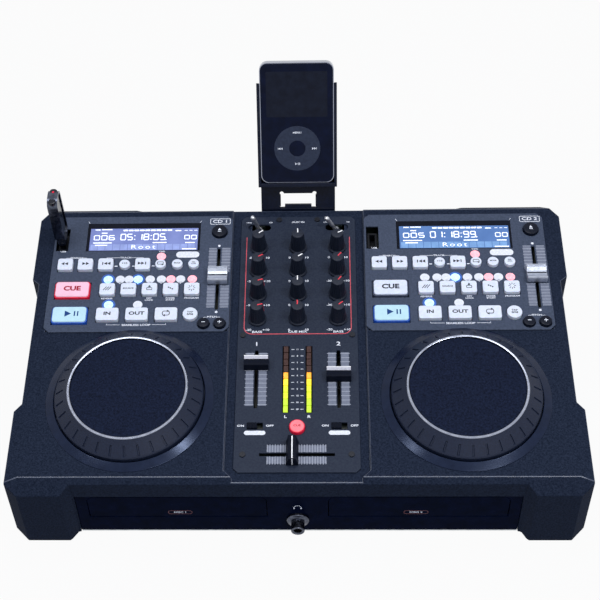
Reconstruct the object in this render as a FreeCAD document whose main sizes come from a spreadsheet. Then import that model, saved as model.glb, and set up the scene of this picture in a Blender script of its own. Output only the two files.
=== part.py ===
import FreeCAD, Part
import math
import os
import re
from FreeCAD import Placement, Rotation, Vector

# A table-top console with two disc drawers, two jog wheels, a mixer between
# them and a dock for a pocket player at the back.  Millimetres, +Z up, +Y to
# the back.  The origin ends up under the middle of the whole outline.

doc = FreeCAD.newDocument("disc_console")
sheet = doc.addObject("Spreadsheet::Sheet", "Sheet")
parts = []
SIZE_NAME = re.compile(r"[a-z][a-z_0-9]*")
UPRIGHT = Rotation()
ALONG_Y = Rotation(Vector(1, 0, 0), -90)


def on_sheet(formula):
    """Name the sheet in front of each size in a formula."""
    return SIZE_NAME.sub(r"Sheet.\g<0>", str(formula))


def number(formula):
    """The value of a formula of named sizes."""
    return float(sheet.evalExpression(on_sheet(formula)))


def bind(thing, **formulas):
    """Tie properties of a document object to the sheet."""
    for name, formula in formulas.items():
        thing.setExpression(name, on_sheet(formula))


def stand_at(thing, x, y, z):
    """Tie the place of a document object to the sheet."""
    for axis, formula in (("x", x), ("y", y), ("z", z)):
        thing.setExpression("Placement.Base." + axis, on_sheet(formula))


def block(x, y, z, length, width, height):
    """A box centred on x and y that stands on z."""
    box = doc.addObject("Part::Box", "Block")
    bind(box, Length=length, Width=width, Height=height)
    stand_at(box, f"({x}) - ({length}) / 2", f"({y}) - ({width}) / 2", z)
    return box


def rod(x, y, z, radius, length, turn=UPRIGHT):
    """A cylinder that starts at x, y, z."""
    cylinder = doc.addObject("Part::Cylinder", "Rod")
    cylinder.Placement = Placement(Vector(), turn)
    bind(cylinder, Radius=radius, Height=length)
    stand_at(cylinder, x, y, z)
    return cylinder


def taper(x, y, z, low_radius, high_radius, height):
    """A cone frustum that stands on z."""
    cone = doc.addObject("Part::Cone", "Taper")
    bind(cone, Radius1=low_radius, Radius2=high_radius, Height=height)
    stand_at(cone, x, y, z)
    return cone


def prism(points, direction, length):
    """A closed outline of points pushed along a direction."""
    outline = doc.addObject("Part::Polygon", "Outline")
    outline.Nodes = points
    outline.Close = True
    solid = doc.addObject("Part::Extrusion", "Prism")
    solid.Base = outline
    solid.DirMode = "Custom"
    solid.Dir = direction
    bind(solid, LengthFwd=length)
    solid.Solid = True
    return solid


def turned(profile, x=0, y=0, z=0):
    """A profile of radius and height spun about an upright axis."""
    outline = doc.addObject("Part::Polygon", "Profile")
    outline.Nodes = [Vector(number(r), 0, number(h)) for r, h in profile]
    outline.Close = True
    solid = doc.addObject("Part::Revolution", "Turned")
    solid.Source = outline
    solid.Axis = Vector(0, 0, 1)
    solid.Angle = 360
    solid.Solid = True
    stand_at(solid, x, y, z)
    return solid


def join(*things):
    """One solid from things that touch."""
    fused = doc.addObject("Part::MultiFuse", "Join")
    fused.Shapes = list(things)
    fused.Refine = True
    return fused


def group(*things):
    """Several solids that stay apart."""
    together = doc.addObject("Part::Compound", "Group")
    together.Links = list(things)
    return together


def cut(base, *tools):
    """A solid with tools taken away."""
    result = doc.addObject("Part::Cut", "Cut")
    result.Base = base
    result.Tool = tools[0] if len(tools) == 1 else group(*tools)
    result.Refine = True
    return result


def moved(place, *things):
    """Things set out in a frame of their own, moved to its place."""
    together = group(*things)
    together.Placement = place
    return together


def common(*things):
    """What all the things share."""
    shared = doc.addObject("Part::MultiCommon", "Shared")
    shared.Shapes = list(things)
    return shared


def round_edges(base, radius, chosen):
    """A solid with the edges that chosen picks rounded."""
    doc.recompute()
    fillet = doc.addObject("Part::Fillet", "Rounded")
    fillet.Base = base
    reach = number(radius)
    numbers = [i + 1 for i, edge in enumerate(base.Shape.Edges) if chosen(edge)]
    fillet.Edges = [(i, reach, reach) for i in numbers]
    return fillet


def mirrored(points):
    """Points right of the middle followed by their left twins, as one outline."""
    return points + [Vector(-p.x, p.y, p.z) for p in reversed(points)]


def runs_along(edge, axis):
    """Whether a straight edge runs along an axis."""
    if edge.Curve.TypeId != "Part::GeomLine":
        return False
    return abs(edge.tangentAt(edge.FirstParameter).dot(axis)) > 0.999


def place_part(label, thing, place):
    """Give a finished piece its name and its place."""
    thing.Label = label
    thing.Placement = place
    parts.append(thing)


# Housing: outline, bumpers, slope of the top, feet.
half_width = 223.4
bumper_step = 6.0
bumper_front_end = 70.4
bumper_rear_start = 199.6
corner_front_x = half_width - 9.0
corner_front_y = 6.1
corner_rear_x = half_width - 14.5
back_step = 5.5
back_bumper_inner = half_width - 82.4
front_step = 6.2
front_block_inner = half_width - 42.4
front_block_slant = 7.0
slope = 5.0
top_front_y = 10.3
top_front_z = 74.7
nose_z = 63.9
top_length = 261.0
back_y = top_front_y + top_length + 6.7
corner_rear_y = back_y - 14.5
back_drop = 6.0
crown_half = half_width - 10.4
crown_drop = 2.5
foot_relief = 0.5
underside_z = 4.0
foot_inner = half_width - 43.8
foot_outer_rise = 9.6
foot_length = 58.0
foot_pad_x = half_width - 26.9
foot_pad_y = 29.0
foot_pad_radius = 11.0
foot_pad_gauge = 2.6
wall = 2.8
fit = 0.3
running = 0.05
pan_gauge = 1.2
boss_x = half_width - 12.2
boss_front_y = 74.0
boss_back_y = back_y - 72.0
boss_middle_y = (boss_front_y + boss_back_y) / 2
boss_radius = 4.4
screw_radius = 1.5
screw_length = 10.0
screw_head_radius = 3.0
screw_head_height = 1.6

# Plates, windows and printed-circuit boards of the sloping top.
deck_x = 132.0
plate_half = 76.0
plate_high = top_length - 6.6
plate_low = plate_high - 121.1
plate_gauge = 1.5
plate_corner = 4.5
plate_rim = 1.5
board_gauge = 1.6
board_depth = 11.8
stud_radius = 1.8
channel_half = 56.0
channel_depth = 3.0
channel_slant = 6.0
channel_front = 6.0
mixer_half = 48.6
mixer_low = 4.6
mixer_high = top_length - 5.8
mixer_corner = 3.5
mixer_rim = 9.0
mixer_front_rim = 3.5
mixer_back_rim = 7.0
mixer_gauge = 1.5
mixer_board_depth = 22.4
face_screw_radius = 1.2
face_head_radius = 2.3
face_head_height = 1.1

# Keys, lamps and displays of one deck.
key_height = 3.0
key_flange = 0.5
key_flange_gauge = 1.2
key_stem_radius = 1.4
key_stem_end = 10.2
row_top_v = plate_high - 53.2
row_lamp_v = row_top_v - 14.6
row_middle_v = row_top_v - 26.2
row_low_v = row_middle_v - 25.6
square_key_width = 12.8
square_key_depth = 12.0
small_key_radius = 4.6
search_key_back = -64.0
search_key_on = -47.0
track_key_back = -29.8
ten_key_x = -13.8
track_key_on = 1.4
folder_key_x = 16.5
mode_key_x = 30.6
single_key_x = 44.4
middle_key_pitch = 17.6
middle_key_first = -26.3
loop_key_width = 18.6
loop_key_depth = 12.7
loop_key_pitch = 24.2
tap_key_x = 44.0
tap_key_radius = 6.2
start_key_x = -55.5
start_key_width = 29.6
start_key_depth = 16.8
eject_key_x = 65.1
eject_key_v = plate_high - 18.1
eject_key_radius = 6.6
bend_key_x = 61.8
bend_key_spread = 13.2
bend_key_v = plate_low + 7.2
bend_key_radius = 5.0
lamp_radius = 1.5
lamp_depth = 3.0
lamp_crown = 0.4
reverse_lamp_x = -26.7
source_lamp_first = -16.5
source_lamp_middle = -9.1
source_lamp_last = -1.5
lock_lamp_x = 8.6
range_lamp_first = 18.0
range_lamp_middle = 26.0
range_lamp_last = 34.1
start_lamp_x = 43.9
loop_lamp_v = row_low_v + 11.0
display_v = plate_high - 22.4
display_width = 97.0
display_depth = 30.0
display_gauge = 7.0
display_base_width = 90.0
display_base_depth = 26.0
display_sunk = 0.3
folder_lamp_v = display_v - display_depth / 2 - 6.3
slot_width = 2.6
pitch_x = 65.2
pitch_low = plate_low + 21.9
pitch_high = plate_high - 35.6
fader_body_width = 9.0
fader_body_end = 3.2
fader_track_depth = 1.4
pitch_body_top = 5.0
pitch_cap_width = 16.4
pitch_cap_depth = 12.8
pitch_cap_height = 8.0
cap_gap = 0.6
stem_gauge = 1.6
stem_depth = 5.0
pitch_stem_end = 9.0
port_x = -69.0
port_v = display_v - 2.5
port_window_width = 10.5
port_window_depth = 24.0
port_body_width = 8.0
port_body_depth = 16.0
port_body_top = 3.0
port_slot_width = 4.7
port_slot_depth = 12.3
port_slot_floor = 11.0
stick_width = 8.8
stick_depth = 18.6
stick_height = 57.0
stick_lift = 3.0
stick_round = 2.4
plug_gap = 0.2

# Mixer controls.
knob_column = 33.0
knob_row_first = mixer_high - 108.2
knob_row_pitch = 24.75
knob_radius = 7.5
knob_skirt = 1.4
knob_waist_radius = 6.7
knob_crown_radius = 4.9
knob_height = 19.8
knob_lift = 0.5
shaft_radius = 3.0
shaft_end = 15.0
pot_radius = 6.2
pot_top = 9.0
shaft_window = 3.6
channel_fader_x = 32.8
channel_fader_low = 62.0
channel_fader_high = 116.3
channel_cap_width = 19.6
channel_cap_depth = 10.6
channel_cap_height = 8.4
mixer_stem_end = 16.0
mixer_fader_top = 12.0
mixer_track_depth = 8.0
fader_one_v = 102.2
fader_two_v = 91.1
cross_v = 20.2
cross_half = 29.0
cross_rest_x = -3.6
cross_cap_width = 9.8
cross_cap_v = 21.1
cross_cap_depth = 21.4
cross_cap_height = 9.6
meter_x = 9.2
meter_width = 5.4
meter_low = 57.8
meter_high = 120.4
meter_depth = 3.0
listen_v = 43.9
listen_radius = 6.2
listen_height = 3.4
listen_body = 14.0
listen_body_top = 8.4
listen_key_end = 7.0
selector_x = 32.8
selector_v = 45.7
selector_window_width = 12.4
selector_window_depth = 6.0
selector_knob_width = 7.6
selector_knob_depth = 5.2
selector_travel = 4.2
selector_body_top = 7.0
selector_knob_height = 2.0
selector_body_width = 13.6
selector_body_depth = 8.4
toggle_x = 33.0
toggle_v = mixer_high - 11.7
toggle_pivot = 6.0
toggle_lean_left = 17.0
toggle_lean_right = 28.0
toggle_radius = 1.6
toggle_tip_radius = 2.3
toggle_length = 20.5
toggle_window_width = 19.5
toggle_window_depth = 6.8
toggle_hub_radius = 2.2
toggle_hub_half = 2.6
toggle_pin_radius = 1.2
toggle_cheek = 1.8
toggle_cheek_width = 9.0

# Jog wheels.
jog_v = plate_low - 62.9
jog_lip_radius = 64.0
jog_well_radius = 61.5
jog_bore_radius = 59.6
jog_lip_height = 3.6
jog_lip_slant = 1.6
jog_floor = 8.0
jog_floor_gauge = 2.0
jog_post_radius = 4.0
jog_post_top = 10.0
wheel_radius = 58.7
wheel_low = 1.0
wheel_skirt_top = 6.4
wheel_top_radius = 46.9
wheel_shoulder = 16.6
wheel_rim_top = 17.5
wheel_rim_radius = 45.5
wheel_seat = 15.0
wheel_wall = 2.5
wheel_hub_radius = 9.0
disc_gauge = 1.6

# Drawers, the mechanisms under them and the front panel.
tray_x = 93.4
tray_front_half = 69.3
tray_front_low = 24.6
tray_front_high = 51.4
tray_front_round = 6.0
tray_front_gauge = 5.0
tray_half = 65.0
tray_z = 31.0
tray_gauge = 9.0
tray_length = 150.0
tray_gap = 0.5
disc_well_radius = 61.0
disc_well_depth = 4.5
disc_well_margin = 3.0
small_well_radius = 41.0
small_well_depth = 1.5
spindle_slot_width = 40.0
spindle_slot_length = 78.0
spindle_slot_back = 58.0
panel_set_back = 1.0
panel_gauge = 3.0
panel_half = front_block_inner - 9.0
panel_top = 53.5
chassis_front = 14.0
chassis_length = 186.0
chassis_gauge = 1.5
rail_gauge = 2.0
rail_height = 38.8
ledge_width = 5.5
guide_width = 3.3
clamp_bridge = 22.0
clamp_radius = 14.0
sled_base_width = 60.0
sled_base_length = 110.0
sled_base_back = 20.0
sled_base_gauge = 3.0
motor_radius = 12.0
motor_height = 10.5
turntable_radius = 14.0
turntable_gauge = 3.0
spindle_radius = 2.0
spindle_height = 18.5
pickup_width = 24.0
pickup_length = 30.0
pickup_height = 8.0
pickup_back = 34.0
guide_rod_radius = 1.5
guide_rod_spread = 22.0
guide_rod_length = 50.0
guide_rod_back = 38.0
guide_block = 6.0
jack_z = 20.5
jack_flange_radius = 8.7
jack_flange_gauge = 3.0
jack_barrel_radius = 5.3
jack_nose_y = -4.0
jack_bore_radius = 3.2
jack_bore_length = 32.0
jack_body = 16.0
jack_body_length = 24.0

# Back panel, boards on the pan and the power supply.
back_window_half = 132.0
back_window_low = 12.0
back_window_high = 82.0
back_panel_half = back_window_half + 10.0
back_panel_top = 88.0
back_panel_gauge = 1.5
line_socket_z = 52.0
line_socket_drop = 24.0
line_socket_radius = 4.15
line_socket_bore = 1.6
line_socket_reach = 9.5
line_socket_base = 11.0
line_socket_pitch = 22.0
line_socket_first = -114.0
line_socket_depth = 12.0
inlet_x = 98.0
inlet_z = 38.0
inlet_width = 27.4
inlet_height = 20.0
inlet_depth = 22.0
inlet_wall = 2.2
inlet_recess = 16.0
inlet_flange = 4.0
inlet_flange_gauge = 1.8
inlet_pin_width = 4.0
inlet_pin_height = 1.8
inlet_pin_length = 11.0
inlet_pin_pitch = 7.0
main_board_half = half_width - 63.4
main_board_y = back_y - 45.0
main_board_width = 56.0
main_board_lift = 8.0
standoff_radius = 3.0
chip = 16.0
chip_height = 2.4
supply_x = half_width - 39.4
supply_y = back_y - 113.0
supply_width = 32.0
supply_length = 150.0
supply_lift = 5.0
transformer_width = 28.0
transformer_length = 38.0
transformer_height = 32.0
capacitor_radius = 8.0
capacitor_height = 25.0
heat_sink_gauge = 2.0
heat_sink_length = 50.0
heat_sink_height = 28.0

# Dock at the back and the pocket player that stands in it.
dock_tilt = 26.3
player_y = back_y - 3.3
player_z = 126.3
player_width = 61.8
player_height = 103.5
player_depth = 11.0
player_round = 6.5
player_back_round = 2.5
dock_gauge = 3.0
dock_arm_height = 87.0
dock_arm_drop = 4.0
dock_arm_gauge = 2.2
dock_arm_front = 0.8
dock_shelf = 3.2
dock_neck_half = 31.8
dock_neck_length = 27.0
dock_flange_low = 66.0
dock_flange_top = 97.4
dock_window_half = 15.0
dock_window_high = 13.0
dock_window_low = 26.0
dock_tab_half = 11.5
dock_tab_height = 3.0
dock_ear_radius = 1.8
dock_screw_x = 24.0
dock_screw_z = 88.5
tongue_width = 20.0
tongue_gauge = 2.4
tongue_height = 4.5
tongue_y = 5.5

# Every size above goes to the sheet, where the solids' properties read it.
for row, (name, value) in enumerate(
        [item for item in globals().items() if isinstance(item[1], float)], start=1):
    sheet.set(f"A{row}", name)
    sheet.set(f"B{row}", str(value))
    sheet.setAlias(f"B{row}", name)
doc.recompute([sheet])

SIDES = (("left", -1), ("right", 1))

# ---------------------------------------------------------------- frames
# Three frames: the housing, level on the table; the sloping top, measured
# across, up the slope and out of it; and the leaning dock.
tilt = math.radians(dock_tilt)
incline = math.radians(slope)
rearmost = (player_y + (player_height - player_back_round) * math.sin(tilt)
            + (player_depth - player_back_round) * math.cos(tilt) + player_back_round)
middle_y = (rearmost + jack_nose_y) / 2
HOUSING = Placement(Vector(0, -middle_y, 0), UPRIGHT)
TOP_IN_HOUSING = Placement(
    Vector(0, top_front_y, top_front_z),
    Rotation(Vector(1, 0, 0), slope),
)
DOCK_IN_HOUSING = Placement(
    Vector(0, player_y, player_z),
    Rotation(Vector(1, 0, 0), -dock_tilt),
)
TOP = HOUSING.multiply(TOP_IN_HOUSING)
DOCK = HOUSING.multiply(DOCK_IN_HOUSING)

pan_top = "(underside_z + pan_gauge)"
panel_y = "(front_step + panel_set_back)"
board_top = "-board_depth"
mixer_top = "(mixer_gauge - channel_depth)"
mixer_board_top = "-mixer_board_depth"
hollow_back = "(back_y - back_step - wall)"

# ---------------------------------------------------------------- top shell
# One moulding: a crowned sloping top, four bumpered corners that reach down
# as feet, a channel for the mixer, and windows for plates, wheels and panels.
side_width = half_width - bumper_step
back_wall = back_y - back_step
plan = prism(mirrored([
    Vector(front_block_inner - front_block_slant, front_step, 0),
    Vector(front_block_inner, 0, 0),
    Vector(corner_front_x, 0, 0),
    Vector(half_width, corner_front_y, 0),
    Vector(half_width, bumper_front_end, 0),
    Vector(side_width, bumper_front_end + bumper_step, 0),
    Vector(side_width, bumper_rear_start - bumper_step, 0),
    Vector(half_width, bumper_rear_start, 0),
    Vector(half_width, corner_rear_y, 0),
    Vector(corner_rear_x, back_y, 0),
    Vector(back_bumper_inner, back_y, 0),
    Vector(back_bumper_inner - back_step, back_wall, 0),
]), Vector(0, 0, 1), "2 * top_front_z")
crest_y = top_front_y + top_length * math.cos(incline)
crest_z = top_front_z + top_length * math.sin(incline)
beyond = half_width + bumper_step
side_view = prism([
    Vector(-beyond, 0, foot_relief),
    Vector(-beyond, 0, nose_z),
    Vector(-beyond, top_front_y, top_front_z),
    Vector(-beyond, crest_y, crest_z),
    Vector(-beyond, back_y, crest_z - back_drop),
    Vector(-beyond, back_y, foot_relief),
], Vector(1, 0, 0), "2 * (half_width + bumper_step)")
crown_fall = (crown_drop / (half_width - crown_half)) * (beyond - crown_half)
crown_view = prism(mirrored([
    Vector(crown_half, -beyond, 0),
    Vector(beyond, -beyond, -crown_fall),
    Vector(beyond, -beyond, -2 * crest_z),
]), Vector(0, 1, 0), "2 * (back_y + half_width)")
front_view = prism(mirrored([
    Vector(half_width - foot_outer_rise, -1, 0),
    Vector(beyond, -1, foot_outer_rise + beyond - half_width),
    Vector(beyond, -1, 2 * crest_z),
]), Vector(0, 1, 0), "back_y + 2")
envelope = common(plan, side_view, moved(TOP_IN_HOUSING, crown_view), front_view)

between_feet = prism(mirrored([
    Vector(foot_inner, -1, 0),
    Vector(foot_inner - underside_z, -1, underside_z),
]), Vector(0, 1, 0), "back_y + 2")
beside_feet = block(0, "back_y / 2", 0, "2 * half_width + 2", "back_y - 2 * foot_length",
                    "underside_z")

hollow_front = front_step + wall
nose_rise = ((top_front_z - nose_z) / top_front_y)
nose_inside = nose_z - wall * math.hypot(1, nose_rise)
roof_inside = top_front_z - wall / math.cos(incline)
roof_rise = math.tan(incline)
roof_start = roof_inside - top_front_y * roof_rise
meeting_y = (roof_start - nose_inside) / (nose_rise - roof_rise)
hollow_end = number(hollow_back)
hollow_half = side_width - wall
hollow = prism([
    Vector(-hollow_half, hollow_front, underside_z),
    Vector(-hollow_half, hollow_front, nose_inside + hollow_front * nose_rise),
    Vector(-hollow_half, meeting_y, roof_start + meeting_y * roof_rise),
    Vector(-hollow_half, hollow_end, roof_start + hollow_end * roof_rise),
    Vector(-hollow_half, hollow_end, underside_z),
], Vector(1, 0, 0), "2 * (half_width - bumper_step - wall)")
channel_bed = block(0, "top_length / 2", "-channel_depth - wall", "2 * (channel_half + wall)",
                    "2 * top_length", "2 * channel_depth + wall")
hollow_under_bed = cut(hollow, moved(TOP_IN_HOUSING, channel_bed))

boss_spots = [
    (sign * boss_x, number(boss_y))
    for boss_y in ("boss_front_y", "boss_middle_y", "boss_back_y")
    for sign in (-1, 1)
]
bosses = group(*[rod(x, y, pan_top, "boss_radius", "top_front_z") for x, y in boss_spots])
pilots = group(*[
    rod(x, y, "underside_z", "screw_radius + running", "screw_length + pan_gauge + 1")
    for x, y in boss_spots
])
foot_spots = [
    (sign * foot_pad_x, y)
    for y in (foot_pad_y, (back_y - foot_pad_y))
    for sign in (-1, 1)
]
pad_pockets = group(*[rod(x, y, 0, "foot_pad_radius + fit", "foot_pad_gauge")
                      for x, y in foot_spots])

channel_slope_x = channel_half - channel_slant
channel_top = channel_depth
channel = prism(mirrored([
    Vector(channel_slope_x, -(2 * top_front_y), -channel_top),
    Vector(channel_slope_x, (channel_front - channel_slant), -channel_top),
    Vector(channel_half, channel_front, -channel_top),
    Vector(channel_half, (2 * top_length), -channel_top),
]), Vector(0, 0, 1), "3 * channel_depth")
roof_openings = [channel]
for _, sign in SIDES:
    roof_openings.append(block(
        f"{sign} * deck_x", "(plate_high + plate_low) / 2", "-2 * wall",
        "2 * (plate_half - plate_rim)", "plate_high - plate_low - 2 * plate_rim", "4 * wall"))
    roof_openings.append(rod(f"{sign} * deck_x", "jog_v", "-2 * wall", "jog_well_radius + fit",
                             "4 * wall"))
mixer_window_low = "(mixer_low + mixer_front_rim)"
mixer_window_high = "(mixer_high - mixer_back_rim)"
roof_openings.append(block(
    0, f"({mixer_window_low} + {mixer_window_high}) / 2", "-channel_depth - 2 * wall",
    "2 * (mixer_half - mixer_rim)", f"{mixer_window_high} - {mixer_window_low}", "4 * wall"))
face_screw_spots = [(44.3, "knob_row_first - 16.0"), (41.8, "mixer_low + 15.4"),
                    (16.3, "mixer_high - 3.6")]
face_screw_spots += [(-x, v) for x, v in face_screw_spots]
for x, v in face_screw_spots:
    roof_openings.append(rod(x, v, "-channel_depth - 2 * wall", "face_screw_radius + running",
                             "4 * wall"))
front_window = block(0, 0, 0, "2 * (panel_half + fit)", "2 * (front_step + wall)", "panel_top")
back_window = block(0, hollow_back, "back_window_low", "2 * back_window_half", "4 * wall",
                    "back_window_high - back_window_low")
dock_pilots = group(*[
    rod(x, hollow_back + " - wall", "dock_screw_z", "screw_radius + running", "3 * wall", ALONG_Y)
    for x in (-dock_screw_x, dock_screw_x)
])
housing = cut(envelope, between_feet, beside_feet, hollow_under_bed)
top_shell = cut(join(housing, common(bosses, envelope)), pilots, pad_pockets, front_window,
                back_window, dock_pilots, moved(TOP_IN_HOUSING, *roof_openings))
place_part("top_shell", top_shell, HOUSING)

# ---------------------------------------------------------------- base pan
# Folded steel sheet inside the shell's walls, with a lip under the front panel.
pan_half = "(half_width - bumper_step - wall - fit)"
pan_front = "(front_step + wall + fit)"
pan_back = f"({hollow_back} - fit)"
pan_sheet = block(0, f"({pan_front} + {pan_back}) / 2", "underside_z", "2 * " + pan_half,
                  f"{pan_back} - {pan_front}", "pan_gauge")
pan_lip = block(0, f"{panel_y} + panel_gauge / 2", "underside_z", "2 * (panel_half - fit)",
                "panel_gauge", "pan_gauge")
pan_holes = [rod(x, y, "underside_z - 1", "screw_radius + fit", "pan_gauge + 2")
             for x, y in boss_spots]
place_part("base_pan", cut(join(pan_sheet, pan_lip), *pan_holes), HOUSING)

# ---------------------------------------------------------------- feet
place_part("rubber_feet", group(*[
    rod(x, y, 0, "foot_pad_radius", "foot_pad_gauge") for x, y in foot_spots
]), HOUSING)

# ---------------------------------------------------------------- drawer fronts' outline
tray_front_z = "(tray_front_low + tray_front_high) / 2"


def drawer_outline(x, y, depth, gap):
    """A block as tall and wide as a drawer front, with its top corners rounded."""
    raw = block(x, y, f"tray_front_low - {gap}", f"2 * (tray_front_half + {gap})", depth,
                f"tray_front_high - tray_front_low + 2 * {gap}")
    middle = number(tray_front_z)
    return round_edges(raw, f"tray_front_round + {gap}", lambda edge: (
        runs_along(edge, Vector(0, 1, 0)) and edge.CenterOfMass.z > middle))


# ---------------------------------------------------------------- front panel
front_panel = block(0, f"{panel_y} + panel_gauge / 2", pan_top, "2 * panel_half", "panel_gauge",
                    f"panel_top - fit - {pan_top}")
drawer_slots = [
    drawer_outline(f"{sign} * tray_x", panel_y, "4 * panel_gauge", "tray_gap")
    for _, sign in SIDES
]
jack_hole = rod(0, 0, "jack_z", "jack_barrel_radius + running", "4 * panel_gauge", ALONG_Y)
place_part("front_panel", cut(front_panel, *drawer_slots, jack_hole), HOUSING)

# ---------------------------------------------------------------- headphone socket
jack_front = rod(0, "jack_nose_y", "jack_z", "jack_barrel_radius",
                 f"{panel_y} + panel_gauge - jack_nose_y", ALONG_Y)
jack_flange = rod(0, f"{panel_y} - jack_flange_gauge", "jack_z", "jack_flange_radius",
                  "jack_flange_gauge", ALONG_Y)
jack_body = block(0, f"{panel_y} + panel_gauge + jack_body_length / 2", "jack_z - jack_body / 2",
                  "jack_body", "jack_body_length", "jack_body")
jack_bore = rod(0, "jack_nose_y", "jack_z", "jack_bore_radius", "jack_bore_length", ALONG_Y)
place_part("headphone_jack", cut(join(jack_front, jack_flange, jack_body), jack_bore), HOUSING)

# ---------------------------------------------------------------- drawers
# A front and a tray in one: wells for large and small discs, and a slot
# through which the spindle and the pickup reach the disc.
tray_back_of_front = f"({panel_y} + tray_front_gauge)"
disc_y = f"({tray_back_of_front} + disc_well_margin + disc_well_radius)"
tray_top = "(tray_z + tray_gauge)"
for name, sign in SIDES:
    x = f"{sign} * tray_x"
    tray = join(
        drawer_outline(x, f"{panel_y} + tray_front_gauge / 2", "tray_front_gauge", "0"),
        block(x, f"{tray_back_of_front} + tray_length / 2", "tray_z", "2 * tray_half",
              "tray_length", "tray_gauge"))
    well = rod(x, disc_y, f"{tray_top} - disc_well_depth", "disc_well_radius",
               "2 * disc_well_depth")
    small_well = rod(x, disc_y, f"{tray_top} - disc_well_depth - small_well_depth",
                     "small_well_radius", "disc_well_depth")
    slot = block(x, f"{disc_y} + spindle_slot_back - spindle_slot_length / 2", "tray_z - 1",
                 "spindle_slot_width", "spindle_slot_length", "tray_gauge + 2")
    place_part("tray_" + name, cut(tray, well, small_well, slot), HOUSING)

# ---------------------------------------------------------------- drive chassis
# A folded channel per drawer: rails that carry the tray, guides over its
# edges and a bridge with the disc clamp.
chassis = []
for _, sign in SIDES:
    x = tray_x * sign
    mid_y = "chassis_front + chassis_length / 2"
    pieces = [block(x, mid_y, pan_top, "2 * (tray_half + tray_gap)", "chassis_length",
                    "chassis_gauge")]
    for hand in (-1, 1):
        rail_x = f"{x} + {hand} * (tray_half + tray_gap + rail_gauge / 2)"
        ledge_x = f"{x} + {hand} * (tray_half + tray_gap - ledge_width / 2)"
        guide_x = f"{x} + {hand} * (tray_half + tray_gap - guide_width / 2)"
        pieces.append(block(rail_x, mid_y, pan_top, "rail_gauge", "chassis_length",
                            "rail_height"))
        pieces.append(block(ledge_x, mid_y, "tray_z - fit - rail_gauge", "ledge_width",
                            "chassis_length", "rail_gauge"))
        pieces.append(block(guide_x, mid_y, tray_top + " + fit", "guide_width",
                            "chassis_length", "rail_gauge"))
    bridge_z = f"{pan_top} + rail_height - rail_gauge"
    pieces.append(block(x, disc_y, bridge_z, "2 * (tray_half + tray_gap)", "clamp_bridge",
                        "rail_gauge"))
    pieces.append(rod(x, disc_y, tray_top + " + fit", "clamp_radius",
                      f"{bridge_z} - ({tray_top} + fit)"))
    chassis.append(join(*pieces))
place_part("drive_chassis", group(*chassis), HOUSING)

# ---------------------------------------------------------------- disc mechanisms
mechanisms = []
chassis_top = f"({pan_top} + chassis_gauge)"
sled_top = f"({chassis_top} + sled_base_gauge)"
for _, sign in SIDES:
    x = tray_x * sign
    pieces = [
        block(x, f"{disc_y} + sled_base_back", chassis_top, "sled_base_width",
              "sled_base_length", "sled_base_gauge"),
        rod(x, disc_y, sled_top, "motor_radius", "motor_height"),
        rod(x, disc_y, f"{sled_top} + motor_height", "spindle_radius",
            "spindle_height - motor_height"),
        rod(x, disc_y, f"{sled_top} + motor_height + 1", "turntable_radius",
            "turntable_gauge"),
        block(x, f"{disc_y} + pickup_back", sled_top, "pickup_width", "pickup_length",
              "pickup_height"),
    ]
    for hand in (-1, 1):
        rod_x = f"{x} + {hand} * guide_rod_spread"
        pieces.append(rod(rod_x, f"{disc_y} + guide_rod_back - guide_rod_length / 2",
                          f"{sled_top} + guide_block / 2", "guide_rod_radius",
                          "guide_rod_length", ALONG_Y))
        for end in (-1, 1):
            pieces.append(block(rod_x, f"{disc_y} + guide_rod_back + {end} * guide_rod_length / 2",
                                sled_top, "guide_block", "guide_block", "guide_block"))
    mechanisms.append(join(*pieces))
place_part("disc_mechanisms", group(*mechanisms), HOUSING)

# ---------------------------------------------------------------- deck layout
# Places across from the deck's centre line, with width and depth, or radius.
square = ("square_key_width", "square_key_depth")
function_keys = [(x, "row_top_v") + square
                 for x in ("search_key_back", "search_key_on", "track_key_back", "track_key_on")]
function_keys += [(f"middle_key_first + {i} * middle_key_pitch", "row_middle_v") + square
                  for i in range(5)]
function_keys += [(f"{i} * loop_key_pitch", "row_low_v", "loop_key_width", "loop_key_depth")
                  for i in (-1, 0, 1)]
function_keys += [(x, "row_top_v", "small_key_radius")
                  for x in ("ten_key_x", "folder_key_x", "mode_key_x", "single_key_x")]
function_keys += [("tap_key_x", "row_low_v", "tap_key_radius")]
deck_keys = {
    "cue_key": [("start_key_x", "row_middle_v", "start_key_width", "start_key_depth")],
    "play_key": [("start_key_x", "row_low_v", "start_key_width", "start_key_depth")],
    "function_keys": function_keys,
    "eject_key": [("eject_key_x", "eject_key_v", "eject_key_radius")],
    "bend_keys": [(f"bend_key_x + {hand} * bend_key_spread / 2", "bend_key_v",
                   "bend_key_radius") for hand in (-1, 1)],
}
lamps = [(x, "row_lamp_v")
         for x in ("reverse_lamp_x", "source_lamp_first", "source_lamp_middle",
                   "source_lamp_last", "lock_lamp_x", "range_lamp_first",
                   "range_lamp_middle", "range_lamp_last", "start_lamp_x")]
lamps += [("-loop_key_pitch", "loop_lamp_v"), (0, "loop_lamp_v"), ("folder_key_x", "folder_lamp_v")]
stud_spots = [(-60.0, "plate_high - 11.4"), (55.2, "plate_high - 32.4"),
              (-60.0, "plate_low + 4.3"), (44.0, "plate_low + 4.3")]


def key_shape(deck, x, v, low, high, margin, footprint):
    """A key's footprint, grown by a margin, between two heights."""
    x = f"{deck} * deck_x + ({x})"
    if len(footprint) == 1:
        return rod(x, v, low, f"{footprint[0]} + {margin}", f"{high} - ({low})")
    width, depth = footprint
    return block(x, v, low, f"{width} + 2 * {margin}", f"{depth} + 2 * {margin}",
                 f"{high} - ({low})")


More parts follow.
